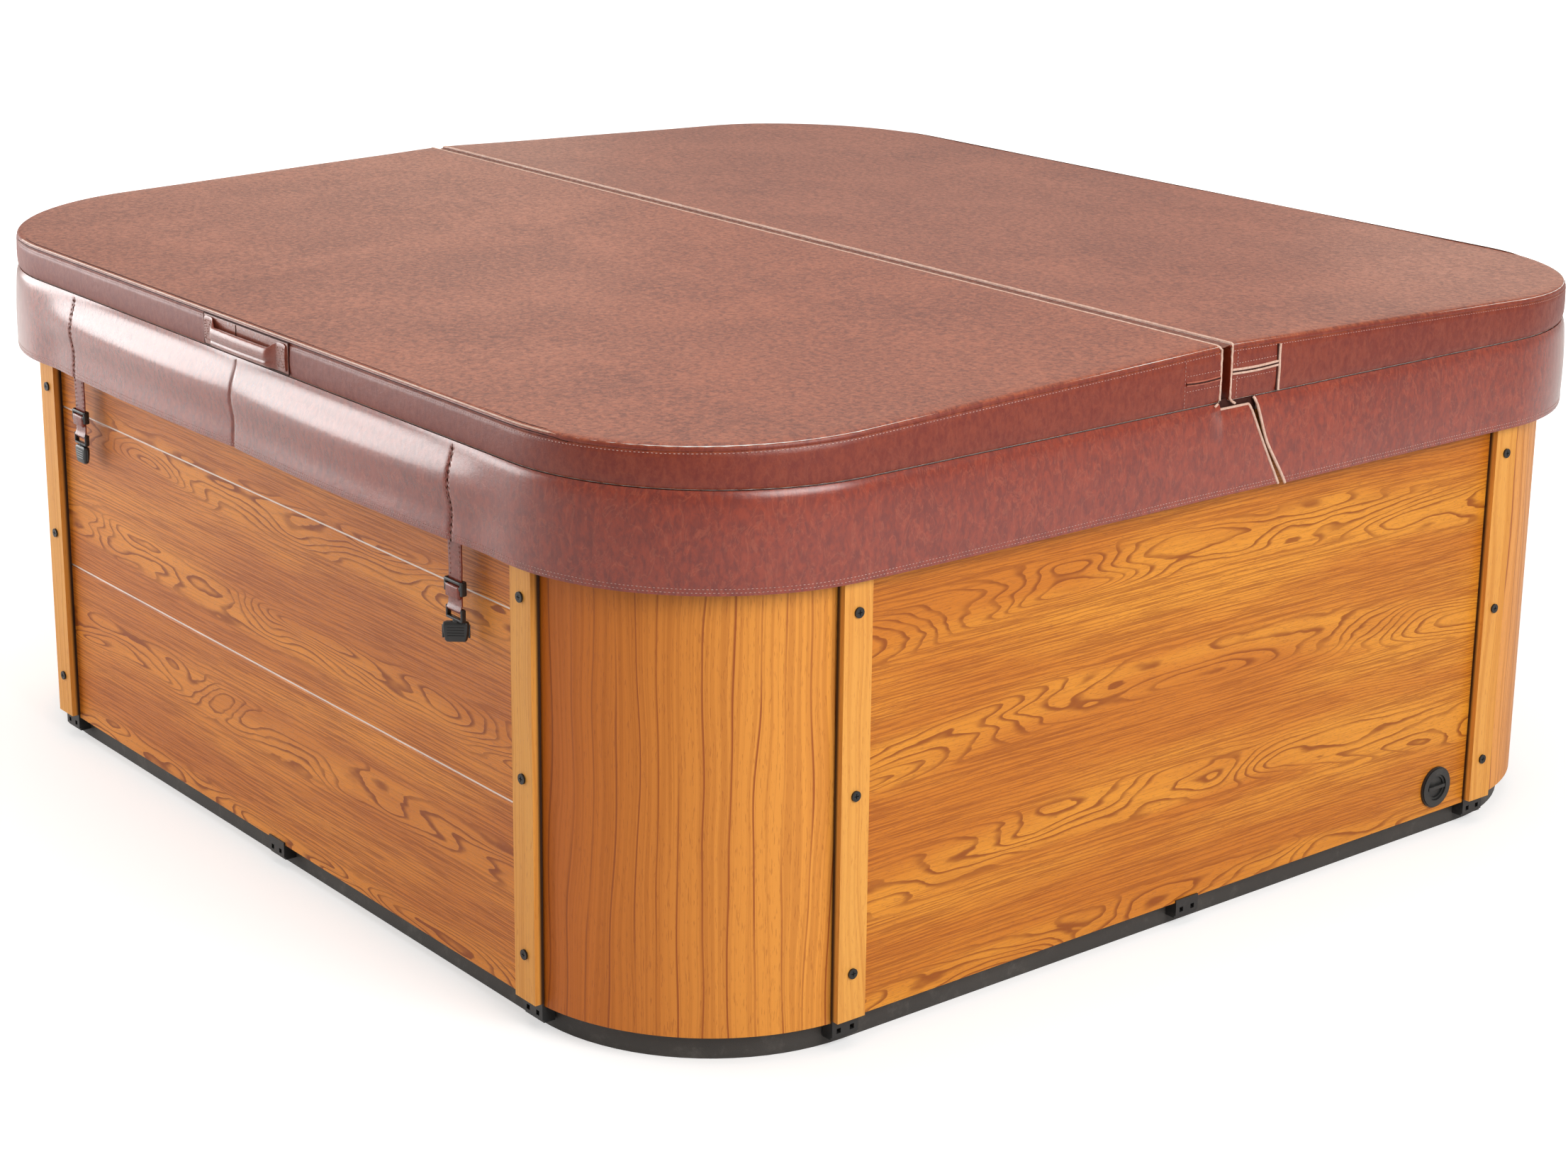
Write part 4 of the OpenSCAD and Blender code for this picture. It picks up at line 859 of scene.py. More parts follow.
@dataclass
class Cover:
    """The folding cover: two tapered halves, their seams, zips and the hinge between them."""

    form: CoverForm
    rim_round: float = 0.008
    stitch_drop: float = 0.0120
    seam_drop: float = 0.0095
    seam_turn: tuple[float, float] = (0.93, 0.99)
    seam_sink: float = 0.0045
    zip_height: dict[int, float] = field(default_factory=lambda: {-1: 0.0420, 1: 0.0475})
    zip_reach: dict[int, float] = field(default_factory=lambda: {-1: 0.090, 1: 0.118})
    welt_out: float = 0.0155
    pucker: float = 0.019

    def build(self) -> None:
        """Build both halves and the hinge."""
        for side, word in ((-1, "front"), (1, "back")):
            body = f"cover_{word}"
            self.jacket(side, word, body)
            self.seams(side, word, body)
            self.zips(side, word, body)
            self.welts(side, word, body)
        self.hinge()

    def lift(self, x: float, y: float) -> float:
        """Give the gentle unevenness of the foam's top."""
        broad = noise.noise(Vector((x * 1.7, y * 1.7, 3.1)))
        small = noise.noise(Vector((x * 5.0, y * 5.0, 8.7)))
        fade = ease(abs(y), 0.03, 0.15)
        return (0.0016 * broad + 0.0006 * small) * fade

    def jacket(self, side: int, word: str, body: str) -> None:
        """Build one half's jacket as a closed crowned form with a rounded rim."""
        form, inset = self.form, self.rim_round
        start = form.half_gap + inset
        rows = [(between(start, form.mid_y, k / 26), 0.0) for k in range(26)]
        rows += [(form.mid_y + (form.corner - inset) * math.sin(a), a)
                 for a in (math.pi / 2 * k / 20 for k in range(21))]
        columns = 72
        shape = Shape()
        grids: list[list[list[int]]] = []
        for level in (0, 1):
            grid = []
            for y, angle in rows:
                half = form.mid_x + (form.corner - inset) * math.cos(angle)
                places = [(half * (1 - 2 * k / columns), y * side) for k in range(columns + 1)]
                grid.append(shape.ring([
                    (x, v, form.low if level else form.top(v) + self.lift(x, v)) for x, v in places
                ]))
            for first, second in zip(grid, grid[1:]):
                shape.bridge(first, second, closed=False)
            grids.append(grid)
        loops = [self.border(grid) for grid in grids]
        ways = self.border_ways(rows, columns)
        above = loops[0]
        for out, drop, rest in self.section():
            loop = []
            for number, (way_x, way_y) in zip(loops[0], ways):
                x, y, z = shape.points[number]
                height = between(z - drop, form.low + rest[1], rest[0])
                loop.append((x + way_x * out, y + way_y * side * out, height))
            below = shape.ring(loop)
            shape.bridge(above, below)
            above = below
        shape.bridge(above, loops[1])
        piece = shape.piece(f"jacket_{word}", TOP_VINYL, body, "cover_vinyl",
                            (f"cover_jacket_{word}",))

    def section(self) -> list[tuple[float, float, tuple[float, float]]]:
        """List the band's profile from the rim down.

        Returns:
            For each level how far it stands out of the inset rim, its drop below the top, and
            the share of the way from there to a height above the foot.
        """
        r = self.rim_round
        rim = [(r * math.sin(a), r * (1 - math.cos(a)), (0.0, 0.0))
               for a in (math.radians(d) for d in (22, 45, 68, 90))]
        seam = [(r - 0.0012, self.seam_drop, (0.0, 0.0)), (r + 0.0004, self.seam_drop + 0.0015, (0.0, 0.0))]
        band = [(r + bulge, 0.012, (share, 0.006)) for bulge, share in
                ((0.0010, 0.15), (0.0015, 0.4), (0.0015, 0.65), (0.0010, 0.88), (0.0, 1.0))]
        foot = [(r - 0.0018, 0.0, (1.0, 0.0025)), (r - 0.005, 0.0, (1.0, 0.0006))]
        return rim + seam + band + foot

    @staticmethod
    def border(grid: list[list[int]]) -> list[int]:
        """Walk round a grid's edge, from the right side past the far row to the left side."""
        right = [row[0] for row in grid]
        left = [row[-1] for row in reversed(grid)]
        return right + grid[-1][1:-1] + left + list(reversed(grid[0][1:-1]))

    @staticmethod
    def border_ways(rows: list[tuple[float, float]], columns: int) -> list[tuple[float, float]]:
        """Give the way out at each place of the border's walk."""
        right = [(math.cos(angle), math.sin(angle)) for _, angle in rows]
        right[0] = (1.0, -1.0)
        left = [(-x, y) for x, y in reversed(right)]
        return right + [(0.0, 1.0)] * (columns - 1) + left + [(0.0, -1.0)] * (columns - 1)

    def seams(self, side: int, word: str, body: str) -> None:
        """Sew the thread row that runs round under the rim, and the double seam along its long edge: a pale
        piping of painted highlight between two dark cords of painted shade.
        """
        form = self.form
        walk = form.outline(side, form.half_gap + 0.004, form.edge_places(0.04))
        low, high = self.seam_turn
        edge = [s for s in walk if abs(s.out_y) > low]

        def along_rim(out: float, drop: float) -> Loop:
            """Run along the rim, and sink into the jacket where the corners turn away."""
            return [s.at(out, form.top(s.y) - drop - self.seam_sink * (1 - ease(abs(s.out_y), low, high)))
                    for s in edge]

        # painted shade: two near-black cords beside the piping stand for the shade in the seam's grooves
        dark = Shape()
        for out, drop in ((-0.0085, -0.0002), (-0.0008, 0.0052)):
            dark.tube(along_rim(out, drop), 0.0009, 6)
        dark.piece(f"rim_seam_shade_{word}", SEAM_SHADE, body, "cover_vinyl")
        # painted highlight: the piping is pale for the light along its rolled edge
        piping = Shape()
        piping.tube(along_rim(-0.0036, 0.0017), 0.0017, 8)
        piping.piece(f"rim_piping_{word}", WELT_HIGHLIGHT, body, "cover_vinyl")
        thread = Shape()
        thread.stitches([s.at(0.0010, form.top(s.y) - self.stitch_drop) for s in walk],
                        FINE_ROW)
        thread.piece(f"rim_stitches_{word}", THREAD, body, "cover_vinyl")

    def zips(self, side: int, word: str, body: str) -> None:
        """Make the zip slot at each end of the hinge, with its lips painted pale as a highlight, a dark strip
        of painted shade in the slot, the patch edge, threads, and on the back half a dark block of painted
        shade behind the slit.
        """
        form = self.form
        reach = self.zip_reach[side]
        z = form.low + self.zip_height[side]
        lips, dark, thread = Shape(), Shape(), Shape()
        for end in (1, -1):
            face = end * (form.half_x + 0.0018)
            near, far = side * (form.half_gap + 0.003), side * (reach - 0.003)

            def sag(y: float) -> float:
                """Give the slot's slight droop between its ends."""
                return -0.0016 * math.sin(math.pi * (y - near) / (far - near))

            steps = [between(near, far, k / 10) for k in range(11)]
            thick = 0.0021 if side > 0 else 0.0014
            # painted highlight: the lips are pale for the light on their rolled edges
            for offset in (thick + 0.0009, -thick - 0.0009):
                lips.tube([(face, y, z + offset + sag(y)) for y in steps], thick, 8)
            # painted shade: a near-black tube in the slot between the lips
            dark.tube([(face - end * 0.0006, y, z + sag(y)) for y in steps], 0.0022, 6)
            for offset in (0.0120, -0.0120):
                thread.stitches([(face + end * 0.0002, y, z + offset) for y in (near, far)],
                                FINE_ROW)
            edge = side * reach
            tall = [form.low + 0.004, form.top(reach) - 0.011]
            if side > 0:
                levels = [between(tall[0], tall[1], k / 8) for k in range(9)]
                # the patch edge: a pale welt of painted highlight with a dark line of painted shade beside it
                lips.tube([(face + end * 0.0004, edge + 0.0005 * math.sin(5.0 * k), level)
                           for k, level in enumerate(levels)], 0.0023, 8)
                dark.tube([(face - end * 0.0004, edge - side * 0.0042, level) for level in levels], 0.0014, 6)
                # painted shade: a dark block behind the slit stands for the shade seen through the opening
                dark.block((end * (form.half_x - 0.006), form.half_gap + 0.022, form.low - 0.010),
                           (0.0016, 0.088, 0.030), 0.0007)
                thread.stitches([(face, form.half_gap + 0.014, level) for level in tall], END_ROW)
            else:
                thread.stitches([(face + end * 0.0002, edge, level) for level in tall], FINE_ROW)
        lips.piece(f"zip_lips_{word}", WELT_HIGHLIGHT if side > 0 else LIP_HIGHLIGHT, body, "cover_vinyl")
        dark.piece(f"zip_slot_shade_{word}", SEAM_SHADE, body, "cover_vinyl")
        thread.piece(f"zip_stitches_{word}", THREAD, body, "cover_vinyl")

    def welts(self, side: int, word: str, body: str) -> None:
        """Lay the welt along the hinge and the bound edge down each end of the gap, both painted pale as a
        highlight.
        """
        form = self.form
        shape = Shape()
        y = side * (form.half_gap + 0.0014)
        count = 112
        x_end = form.half_x - 0.006
        line = [(between(-x_end, x_end, k / count),
                 side * (self.welt_out + 0.0005 * math.sin(1.9 * k)), form.ridge - 0.0017)
                for k in range(count + 1)]
        shape.tube(line, 0.0025, 8)
        for end in (1, -1):
            face = end * (form.half_x + 0.0006)
            levels = [between(form.ridge - 0.007, form.low + 0.006, k / 12) for k in range(13)]
            over = [(end * x_end, side * self.welt_out, form.ridge - 0.0014),
                    (end * (form.half_x - 0.001), side * (self.welt_out - 0.001), form.ridge - 0.0030)]
            down = [(face, y + side * 0.0004 * math.sin(2.4 * k), level) for k, level in enumerate(levels)]
            foot = [(face + end * 0.0006, y + side * 0.004, form.low + 0.001),
                    (face + end * 0.0008, y + side * 0.011, form.low - 0.003)]
            shape.tube(over + down + foot, 0.0021, 8)
        shape.piece(f"hinge_welt_{word}", WELT_HIGHLIGHT, body, "cover_vinyl")

    def hinge(self) -> None:
        """Make the fabric strip that joins the halves."""
        form = self.form
        reach = self.welt_out - 0.0012
        x_end = form.half_x - 0.005
        count = round(2 * x_end / self.pucker) * 4
        across = [between(reach, -reach, k / 12) for k in range(13)]
        fronts, backs = [], []
        for k in range(count + 1):
            x = between(-x_end, x_end, k / count)
            heights = [form.ridge - 0.0012 - self.dip(x, y, reach) for y in across]
            fronts.append([(x, y, z) for y, z in zip(across, heights)])
            backs.append([(x, y, z - 0.0012) for y, z in zip(across, heights)])
        shape = Shape()
        shape.sheet(fronts, backs)
        strip = shape.piece("hinge_strip", STRIP_VINYL, None, "cover_vinyl", ("cover_hinge",))
        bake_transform(strip)

    def dip(self, x: float, y: float, reach: float) -> float:
        """Give how far the hinge strip dips at a place, with its slanted puckers."""
        hollow = 1 - (y / reach) ** 2
        slant = math.sin(2 * math.pi * (x + 0.7 * y) / self.pucker)
        return 0.0040 * hollow ** 0.7 + 0.0007 * hollow * slant


@dataclass
class Skirts:
    """The two hanging skirts with their seams, hems and slanted end slits."""

    form: CoverForm
    drop: float
    seams: tuple[float, ...] = (-0.612, -0.032, 0.612)
    slit_top: float = 0.056
    slit_hem: float = 0.128
    flap_drop: float = 0.010
    thickness: float = 0.0018
    belly: float = 0.0110
    waist: float = 0.0068
    flare: float = 0.0062
    at_seam: float = 0.50
    row_gap: float = 0.004

    @classmethod
    def from_frame(cls, form: CoverForm) -> "Skirts":
        """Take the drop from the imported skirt."""
        return cls(form, form.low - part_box("cover_skirt_front")[0].z)

    def build(self) -> None:
        """Build both skirts and what is sewn on them."""
        self.skirt(-1, "front")
        self.skirt(1, "back")

    def slit(self, share: float) -> float:
        """Give the slit's place behind the hinge at a share of the drop."""
        return between(self.slit_top, self.slit_hem, share) - 0.004 * math.sin(math.pi * share)

    @staticmethod
    def slit_gap(share: float) -> float:
        """Give the slit's width, which narrows half way down."""
        return 0.0050 + 0.0060 * abs(math.cos(math.pi * share)) ** 1.5

    def pinch(self, x: float) -> float:
        """Give how far the front skirt is free to billow at a place x, least at a seam."""
        left, middle, right = self.seams
        if x < left:
            return self.at_seam * ease(x, left - 0.14, left)
        if x > right:
            return self.at_seam * (1 - ease(x, right, right + 0.14))
        low, high = (left, middle) if x < middle else (middle, right)
        return between(self.at_seam, 1.0, math.sin(math.pi * (x - low) / (high - low)) ** 0.7)

    def out(self, station: Station, share: float, front: bool) -> float:
        """Give how far the skirt stands out of the outline.

        Args:
            station: The place on the outline.
            share: The share of the drop.
            front: Whether this is the front skirt.

        Returns:
            The distance in metres.
        """
        billows = front and station.out_y < -0.99 and abs(station.x) < self.form.mid_x + 0.001
        free = self.pinch(station.x) if billows else 0.0
        shoulder = between(1 - math.exp(-share / 0.035), ease(share, 0.06, 0.30), free)
        fold = 0.0042 * shoulder - 0.0012
        swell = 0.0052 * math.sin(math.pi * 0.75 * share)
        along = station.x * 1.9 + station.y * 2.3
        wave = noise.noise(Vector((along, share * 0.9, 1.3 if front else 7.7)))
        fine = noise.noise(Vector((along * 5.0, share * 2.2, 4.1)))
        total = fold + swell + share * (0.0028 * wave + 0.0009 * fine) + 0.0012 * wave * share
        if billows:
            held = ease(self.form.mid_x - abs(station.x), 0.0, 0.10)
            total += free * (self.belly * ease(share, 0.06, 0.42) + self.flare * ease(share, 0.72, 1.0))
            total -= self.waist * held * ease(share, 0.42, 0.70)
            gap = min(abs(station.x - seam) for seam in self.seams)
            total -= 0.0016 * (1 - ease(gap, 0.0, 0.006)) * ease(share, 0.0, 0.1)
        return total

    def stations(self, side: int) -> list[Callable[[float], Station]]:
        """List the columns of a skirt, each a function of the share of the drop."""
        form = self.form
        seams = self.seams if side < 0 else ()
        walk = form.outline(side, form.half_gap, form.edge_places(0.02, seams))
        if side < 0:
            def flap(end: int, share: float) -> Callable[[float], Station]:
                """Make a column of the flap that reaches past the hinge."""
                return lambda v: Station(
                    end * form.half_x, between(self.slit(v), -form.half_gap, share), end, 0)
            shares = (0.0, 0.06, 0.3, 0.6, 0.9, 0.985)
            first = [flap(1, share) for share in shares]
            last = [flap(-1, share) for share in reversed(shares)]
            return first + [lambda v, s=s: s for s in walk] + last

        def slid(station: Station) -> Callable[[float], Station]:
            """Make a column of the back skirt that starts at the slit."""
            share_of = (abs(station.y) - form.half_gap) / (form.mid_y - form.half_gap)
            if abs(station.out_x) < 1 or share_of > 1:
                return lambda v: station
            return lambda v: Station(
                station.x, between(self.slit(v) + self.slit_gap(v), form.mid_y, share_of), station.out_x, 0)

        return [slid(s) for s in walk]

    def height(self, station: Station, share: float) -> float:
        """Give the height at a share of the drop, lower on the flap's top."""
        flap = self.flap_drop if -self.form.half_gap + 1e-4 < station.y < self.slit_top * 3 \
            and abs(station.out_x) == 1 and station.y < self.slit(share) + 0.002 else 0.0
        top = self.form.low - flap + 0.0004
        return top - share * (self.drop - flap)

    def skirt(self, side: int, word: str) -> None:
        """Build one skirt, its bound edges and its thread rows."""
        front = side < 0
        body = f"cover_{word}"
        rows = [0.0, 0.015, 0.04, 0.08, 0.14, 0.2, 0.27, 0.34, 0.42, 0.5, 0.58, 0.66, 0.74, 0.82,
                0.89, 0.94, 0.975, 1.0]
        columns = self.stations(side)
        fronts = [[self.point(column, v, front) for column in columns] for v in rows]
        backs = [[self.point(column, v, front, self.thickness) for column in columns] for v in rows]
        shape = Shape()
        shape.sheet(fronts, backs)
        cloth = shape.piece(f"skirt_{word}", SKIRT_VINYL, body, "cover_vinyl", (f"cover_skirt_{word}",))
        self.trim(side, word, body, columns, rows)

    def point(self, column: Callable[[float], Station], share: float, front: bool,
              behind: float = 0.0) -> Point:
        """Give a point of the skirt's outside, or one behind it."""
        station = column(share)
        return station.at(self.out(station, share, front) - behind, self.height(station, share))

    def trim(self, side: int, word: str, body: str, columns: list[Callable[[float], Station]],
             rows: list[float]) -> None:
        """Sew the hem's threads, the seams' threads and the bound edges of the slits, painted pale as a
        highlight; on the front lay the seam lines in painted shade with a ridge of painted highlight.
        """
        front = side < 0
        thread = Shape()
        for above in (0.0045, 0.0100):
            share = 1 - above / self.drop
            thread.stitches([self.point(c, share, front, -0.0003) for c in columns], FINE_ROW)
        if front:
            for place in (self.seams[0], self.seams[2]):
                for offset in (-self.row_gap, self.row_gap):
                    thread.stitches(self.drop_line(place + offset, 0.04, -0.0004), DROP_ROW)
        thread.piece(f"skirt_stitches_{word}", THREAD, body, "cover_vinyl")
        # painted highlight: the bound edges are pale for the light on their rolled edges
        edge = Shape()
        for column in (columns[0], columns[-1]):
            edge.tube([self.point(column, v, front, 0.0006) for v in rows], 0.0025, 8)
        if front:
            for group in (columns[:6], columns[-6:]):
                edge.tube([self.point(c, 0.0, True, 0.0006) for c in group], 0.0022, 8)
        edge.piece(f"slit_binding_{word}", WELT_HIGHLIGHT, body, "cover_vinyl")
        if front:
            # painted shade: near-black lines down the seams; painted highlight: a pale ridge beside the
            # middle seam
            seam, ridge = Shape(), Shape()
            for place in self.seams:
                middle = place == self.seams[1]
                seam.tube(self.drop_line(place, 0.03, 0.0006), 0.0013 if middle else 0.0009, 6)
                if not middle:
                    seam.stitches(self.drop_line(place, 0.04, -0.0002), GATHERED_ROW)
            seam.piece("skirt_seam_shades", SEAM_SHADE, body, "cover_vinyl")
            ridge.tube(self.drop_line(self.seams[1] + 0.0030, 0.02, 0.0004), 0.0012, 6)
            ridge.piece("skirt_seam_ridge", LIP_HIGHLIGHT, body, "cover_vinyl")

    def drop_line(self, x: float, first: float, behind: float) -> Loop:
        """Give the line down the front skirt at a place x, from a share of the drop to the hem."""
        station = Station(x, -self.form.half_y, 0, -1)
        return [self.point(lambda v: station, between(first, 1.0, k / 16), True, behind) for k in range(17)]


@dataclass
class Handle:
    """The rolled carrying handle on the front band, with its sewn end tabs and backing patch."""

    form: CoverForm
    middle_x: float = 0.008
    length: float = 0.262
    stand: float = 0.0125
    grip_height: float = 0.0155
    grip_half: float = 0.0062
    tab: float = 0.032
    drop: float = 0.0045

    def build(self) -> None:
        """Build the patch, the grip, the tabs and their threads."""
        z = self.form.low + self.form.edge_height / 2
        face = -self.form.half_y - 0.0012
        patch, border = Shape(), Shape()
        patch.block((self.middle_x, face - 0.0005, z), (self.length + 0.010, 0.0018, 0.050), 0.0008)
        patch.piece("handle_patch", PATCH_VINYL, "cover_front", "cover_vinyl")
        # painted shade: near-black lines round the patch and one down it stand for the shade at its edges
        half_x, half_z = self.length / 2 + 0.006, 0.0255
        around = [(-half_x, half_z), (-half_x, -half_z), (half_x, -half_z), (half_x, half_z)]
        around.append(around[0])
        for a, b in zip(around, around[1:]):
            border.tube([(self.middle_x + a[0], face - 0.0008, z + a[1]),
                         (self.middle_x + b[0], face - 0.0008, z + b[1])], 0.0011, 6)
        middle = self.middle_x - 0.030
        border.tube([(middle, face - 0.0014, z + 0.024), (middle, face - 0.0014, z - 0.024)], 0.0009, 6)
        border.piece("handle_border_shade", SEAM_SHADE, "cover_front", "cover_vinyl")
        grip = Shape()
        loops = []
        count = 48
        for k in range(count + 1):
            share = k / count
            x = self.middle_x + (share - 0.5) * self.length
            near = min(share, 1 - share) * self.length
            rise = ease(near, self.tab * 0.75, self.tab * 1.35)
            stand = between(0.0030, self.stand, rise) - 0.0010 * rise * math.cos(2 * math.pi * share)
            tall = between(0.0228, self.grip_height, rise) * (0.90 + 0.10 * ease(near, 0.0, 0.004))
            deep = between(0.0021, self.grip_half, rise)
            loops.append([self.lobe(x, face, z - self.drop * rise, stand, deep, tall, rise,
                                    2 * math.pi * i / 40) for i in range(40)])
        grip.loft(loops)
        piece = grip.piece("handle_grip", HANDLE_VINYL, "cover_front", "cover_vinyl", ("cover_handle",), 70.0)
        thread = Shape()
        for side in (-1, 1):
            x = self.middle_x + side * (self.length / 2 - 0.0135)
            out = face - 0.0052
            for a, b in (((-0.009, -0.016), (0.009, 0.016)), ((-0.009, 0.016), (0.009, -0.016)),
                         ((-0.010, -0.016), (0.010, -0.016)), ((-0.010, 0.016), (0.010, 0.016)),
                         ((-0.010, -0.016), (-0.010, 0.016)), ((0.010, -0.016), (0.010, 0.016))):
                thread.stitches([(x + a[0], out, z + a[1]), (x + b[0], out, z + b[1])], TAB_ROW)
        thread.piece("handle_stitches", THREAD, "cover_front", "cover_vinyl")

    @staticmethod
    def lobe(x: float, face: float, z: float, stand: float, deep: float, tall: float,
             rise: float, angle: float) -> Point:
        """Give a point of the grip's section: two long rolls, one above the other, with a groove between."""
        groove = 1 - 0.46 * rise * math.exp(-((math.sin(angle) + 0.34) / 0.16) ** 2)
        full = math.copysign(abs(math.cos(angle)) ** (1 - 0.35 * rise), math.cos(angle))
        return (x, face - stand - deep * groove * full, z + tall * math.sin(angle))


@dataclass
class TieDown:
    """One tie-down strap under the hem, with its slider and the buckle that hangs on it."""

    side: int
    turn: float
    reach: float = 0.612
    y: float = -1.06845
    pivot: float = 0.7223
    bar: float = 0.6183
    width: float = 0.036
    slider_low: float = 0.6423
    slider_tall: float = 0.022

    @property
    def x(self) -> float:
        """Give the strap's place along the front edge."""
        return self.side * self.reach

    def build(self) -> None:
        """Build the strap, the slider and the buckle."""
        word = "left" if self.side < 0 else "right"
        self.strap(word)
        self.slider(word)
        self.buckle(word)

    def strap(self, word: str) -> None:
        """Build the folded strip with its loop round the buckle's bar and two thread rows."""
        shape = Shape()
        half = self.width / 2
        path = [(0.0, self.pivot + 0.010), (0.0, self.pivot - 0.012), (-0.0006, self.pivot - 0.040),
                (0.0, self.bar + 0.044), (0.0, self.bar + 0.020), (0.0006, self.bar + 0.008)]
        path += [(0.0042 * math.sin(a), self.bar + 0.0042 * math.cos(a))
                 for a in (math.radians(d) for d in range(40, 330, 40))]
        fronts, backs = [], []
        for k, (out, z) in enumerate(path):
            before, after = path[max(k - 1, 0)], path[min(k + 1, len(path) - 1)]
            slope = Vector((after[0] - before[0], after[1] - before[1])).normalized()
            side_way = Vector((-slope.y, slope.x)) * 0.0011
            narrow = half * (1 - 0.05 * math.sin(math.pi * min(1.0, k / 5)))
            across = [self.x + narrow * (2 * i / 8 - 1) for i in range(9)]
            cup = [0.0006 * abs(2 * i / 8 - 1) ** 3 for i in range(9)]
            fronts.append([(x, self.y - out - side_way.x + c, z - side_way.y) for x, c in zip(across, cup)])
            backs.append([(x, self.y - out + side_way.x + c, z + side_way.y) for x, c in zip(across, cup)])
        shape.sheet(fronts, backs)
        shape.block((self.x, self.y - 0.0036, self.slider_low + 0.004),
                    (self.width + 0.001, 0.0070, 0.021), 0.0032)
        shape.piece(f"strap_strip_{word}", STRAP_VINYL, f"{word}_strap", "cover_vinyl", (f"strap_{word}",))
        thread = Shape()
        for offset in (-1, 1):
            thread.stitches([(self.x + offset * (half - 0.005), self.y - 0.0015, self.pivot - 0.003),
                             (self.x + offset * (half - 0.005), self.y - 0.0015, self.bar + 0.048)],
                            STRAP_ROW)
        thread.piece(f"strap_stitches_{word}", THREAD, f"{word}_strap", "cover_vinyl")

    def slider(self, word: str) -> None:
        """Build the ladder-lock slider as a rounded frame with a middle bar."""
        shape = Shape()
        half, tall = self.width / 2 + 0.0035, self.slider_tall / 2
        z = self.slider_low + tall
        for offset in (-1, 1):
            shape.block((self.x + offset * half, self.y, z), (0.0055, 0.0105, self.slider_tall), 0.0022)
            shape.block((self.x, self.y + 0.0045, z + offset * (tall - 0.003)),
                        (2 * half, 0.0040, 0.0058), 0.0016)
        shape.block((self.x, self.y - 0.0042, z), (2 * half, 0.0034, 0.0060), 0.0014)
        shape.block((self.x, self.y - 0.0040, z + tall - 0.0028), (2 * half, 0.0036, 0.0052), 0.0016)
        shape.piece(f"slider_{word}", BUCKLE, f"{word}_strap", "buckle_plastic", (f"strap_slider_{word}",))

    def buckle(self, word: str) -> None:
        """Build the latch half of the buckle: bar, yoke, ribbed body and its open prongs' mouth."""
        shape = Shape()
        reach = self.width / 2 + 0.0030
        shape.tube([(self.x - reach, self.y, self.bar), (self.x + reach, self.y, self.bar)], 0.0025, 12)
        for offset in (-1, 1):
            shape.block((self.x + offset * (reach - 0.0012), self.y, self.bar - 0.006),
                        (0.0042, 0.0085, 0.0190), 0.0018)
        shape.block((self.x, self.y, self.bar - 0.0145), (2 * reach, 0.0085, 0.0050), 0.0018)
        shape.tube([(self.x, self.y, self.bar - 0.014), (self.x, self.y, self.bar - 0.024)], 0.0050, 12)
        turned = math.radians(self.turn)

        def spin(px: float, py: float, drop: float) -> Point:
            """Turn a point of the body about the strap's own line."""
            return (self.x + px * math.cos(turned) - py * math.sin(turned),
                    self.y + px * math.sin(turned) + py * math.cos(turned), self.bar - drop)

        levels = [(0.019, 0.0165, 0.0040), (0.0205, 0.0188, 0.0052), (0.024, 0.0196, 0.0056),
                  (0.032, 0.0192, 0.0056), (0.040, 0.0180, 0.0054), (0.047, 0.0168, 0.0050),
                  (0.0495, 0.0150, 0.0040)]
        shape.loft([[spin(px, py, drop) for px, py in rounded_plan(wide, deep, 0.0040)]
                    for drop, wide, deep in levels])
        for rib in range(4):
            drop = 0.0275 + rib * 0.0042
            for face in (-1, 1):
                line = [spin(px, face * 0.0057, drop) for px in (-0.0125, -0.004, 0.004, 0.0125)]
                shape.tube(line, 0.0008, 6)
        for edge in (-1, 1):
            line = [spin(edge * 0.0194, 0.0, 0.024 + 0.004 * k) for k in range(6)]
            shape.tube(line, 0.0016, 6)
        shape.piece(f"buckle_{word}", BUCKLE, f"{word}_buckle", "buckle_plastic",
                    (f"strap_buckle_{word}",), 40.0)


@dataclass
class Pillow:
    """A padded head rest on a side wall."""

    side: int

    def build(self) -> None:
        """Build the crowned pad with drawn-in ends."""
        word = "left" if self.side < 0 else "right"
        low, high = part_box(f"pillow_{word}")
        wall = low.x if self.side < 0 else high.x
        thick = high.x - low.x
        half_y, half_z = (high.y - low.y) / 2, (high.z - low.z) / 2
        z = (low.z + high.z) / 2
        shape = Shape()
        loops = []
        for share, grow in ((0.0, 0.90), (0.08, 0.98), (0.22, 1.0), (0.45, 0.985), (0.65, 0.93),
                            (0.82, 0.82), (0.93, 0.66), (0.985, 0.44), (1.0, 0.20)):
            wide = half_y * (0.35 * grow + 0.65 * (1 - (1 - grow) * 0.55))
            plan = rounded_plan(wide, half_z * grow, half_z, 12)
            loops.append([(wall - self.side * thick * share * self.crown(y, half_y),
                           y, z + up * (1 - 0.10 * (1 - abs(y) / half_y))) for y, up in plan])
        shape.loft(loops)
        pad = shape.piece(f"pillow_pad_{word}", PILLOW, "tub", "pillow_foam", (f"pillow_{word}",), 70.0)

    @staticmethod
    def crown(y: float, half: float) -> float:
        """Give the share of the pad's thickness at a place y."""
        return 0.80 + 0.20 * math.cos(math.pi / 2 * y / half)


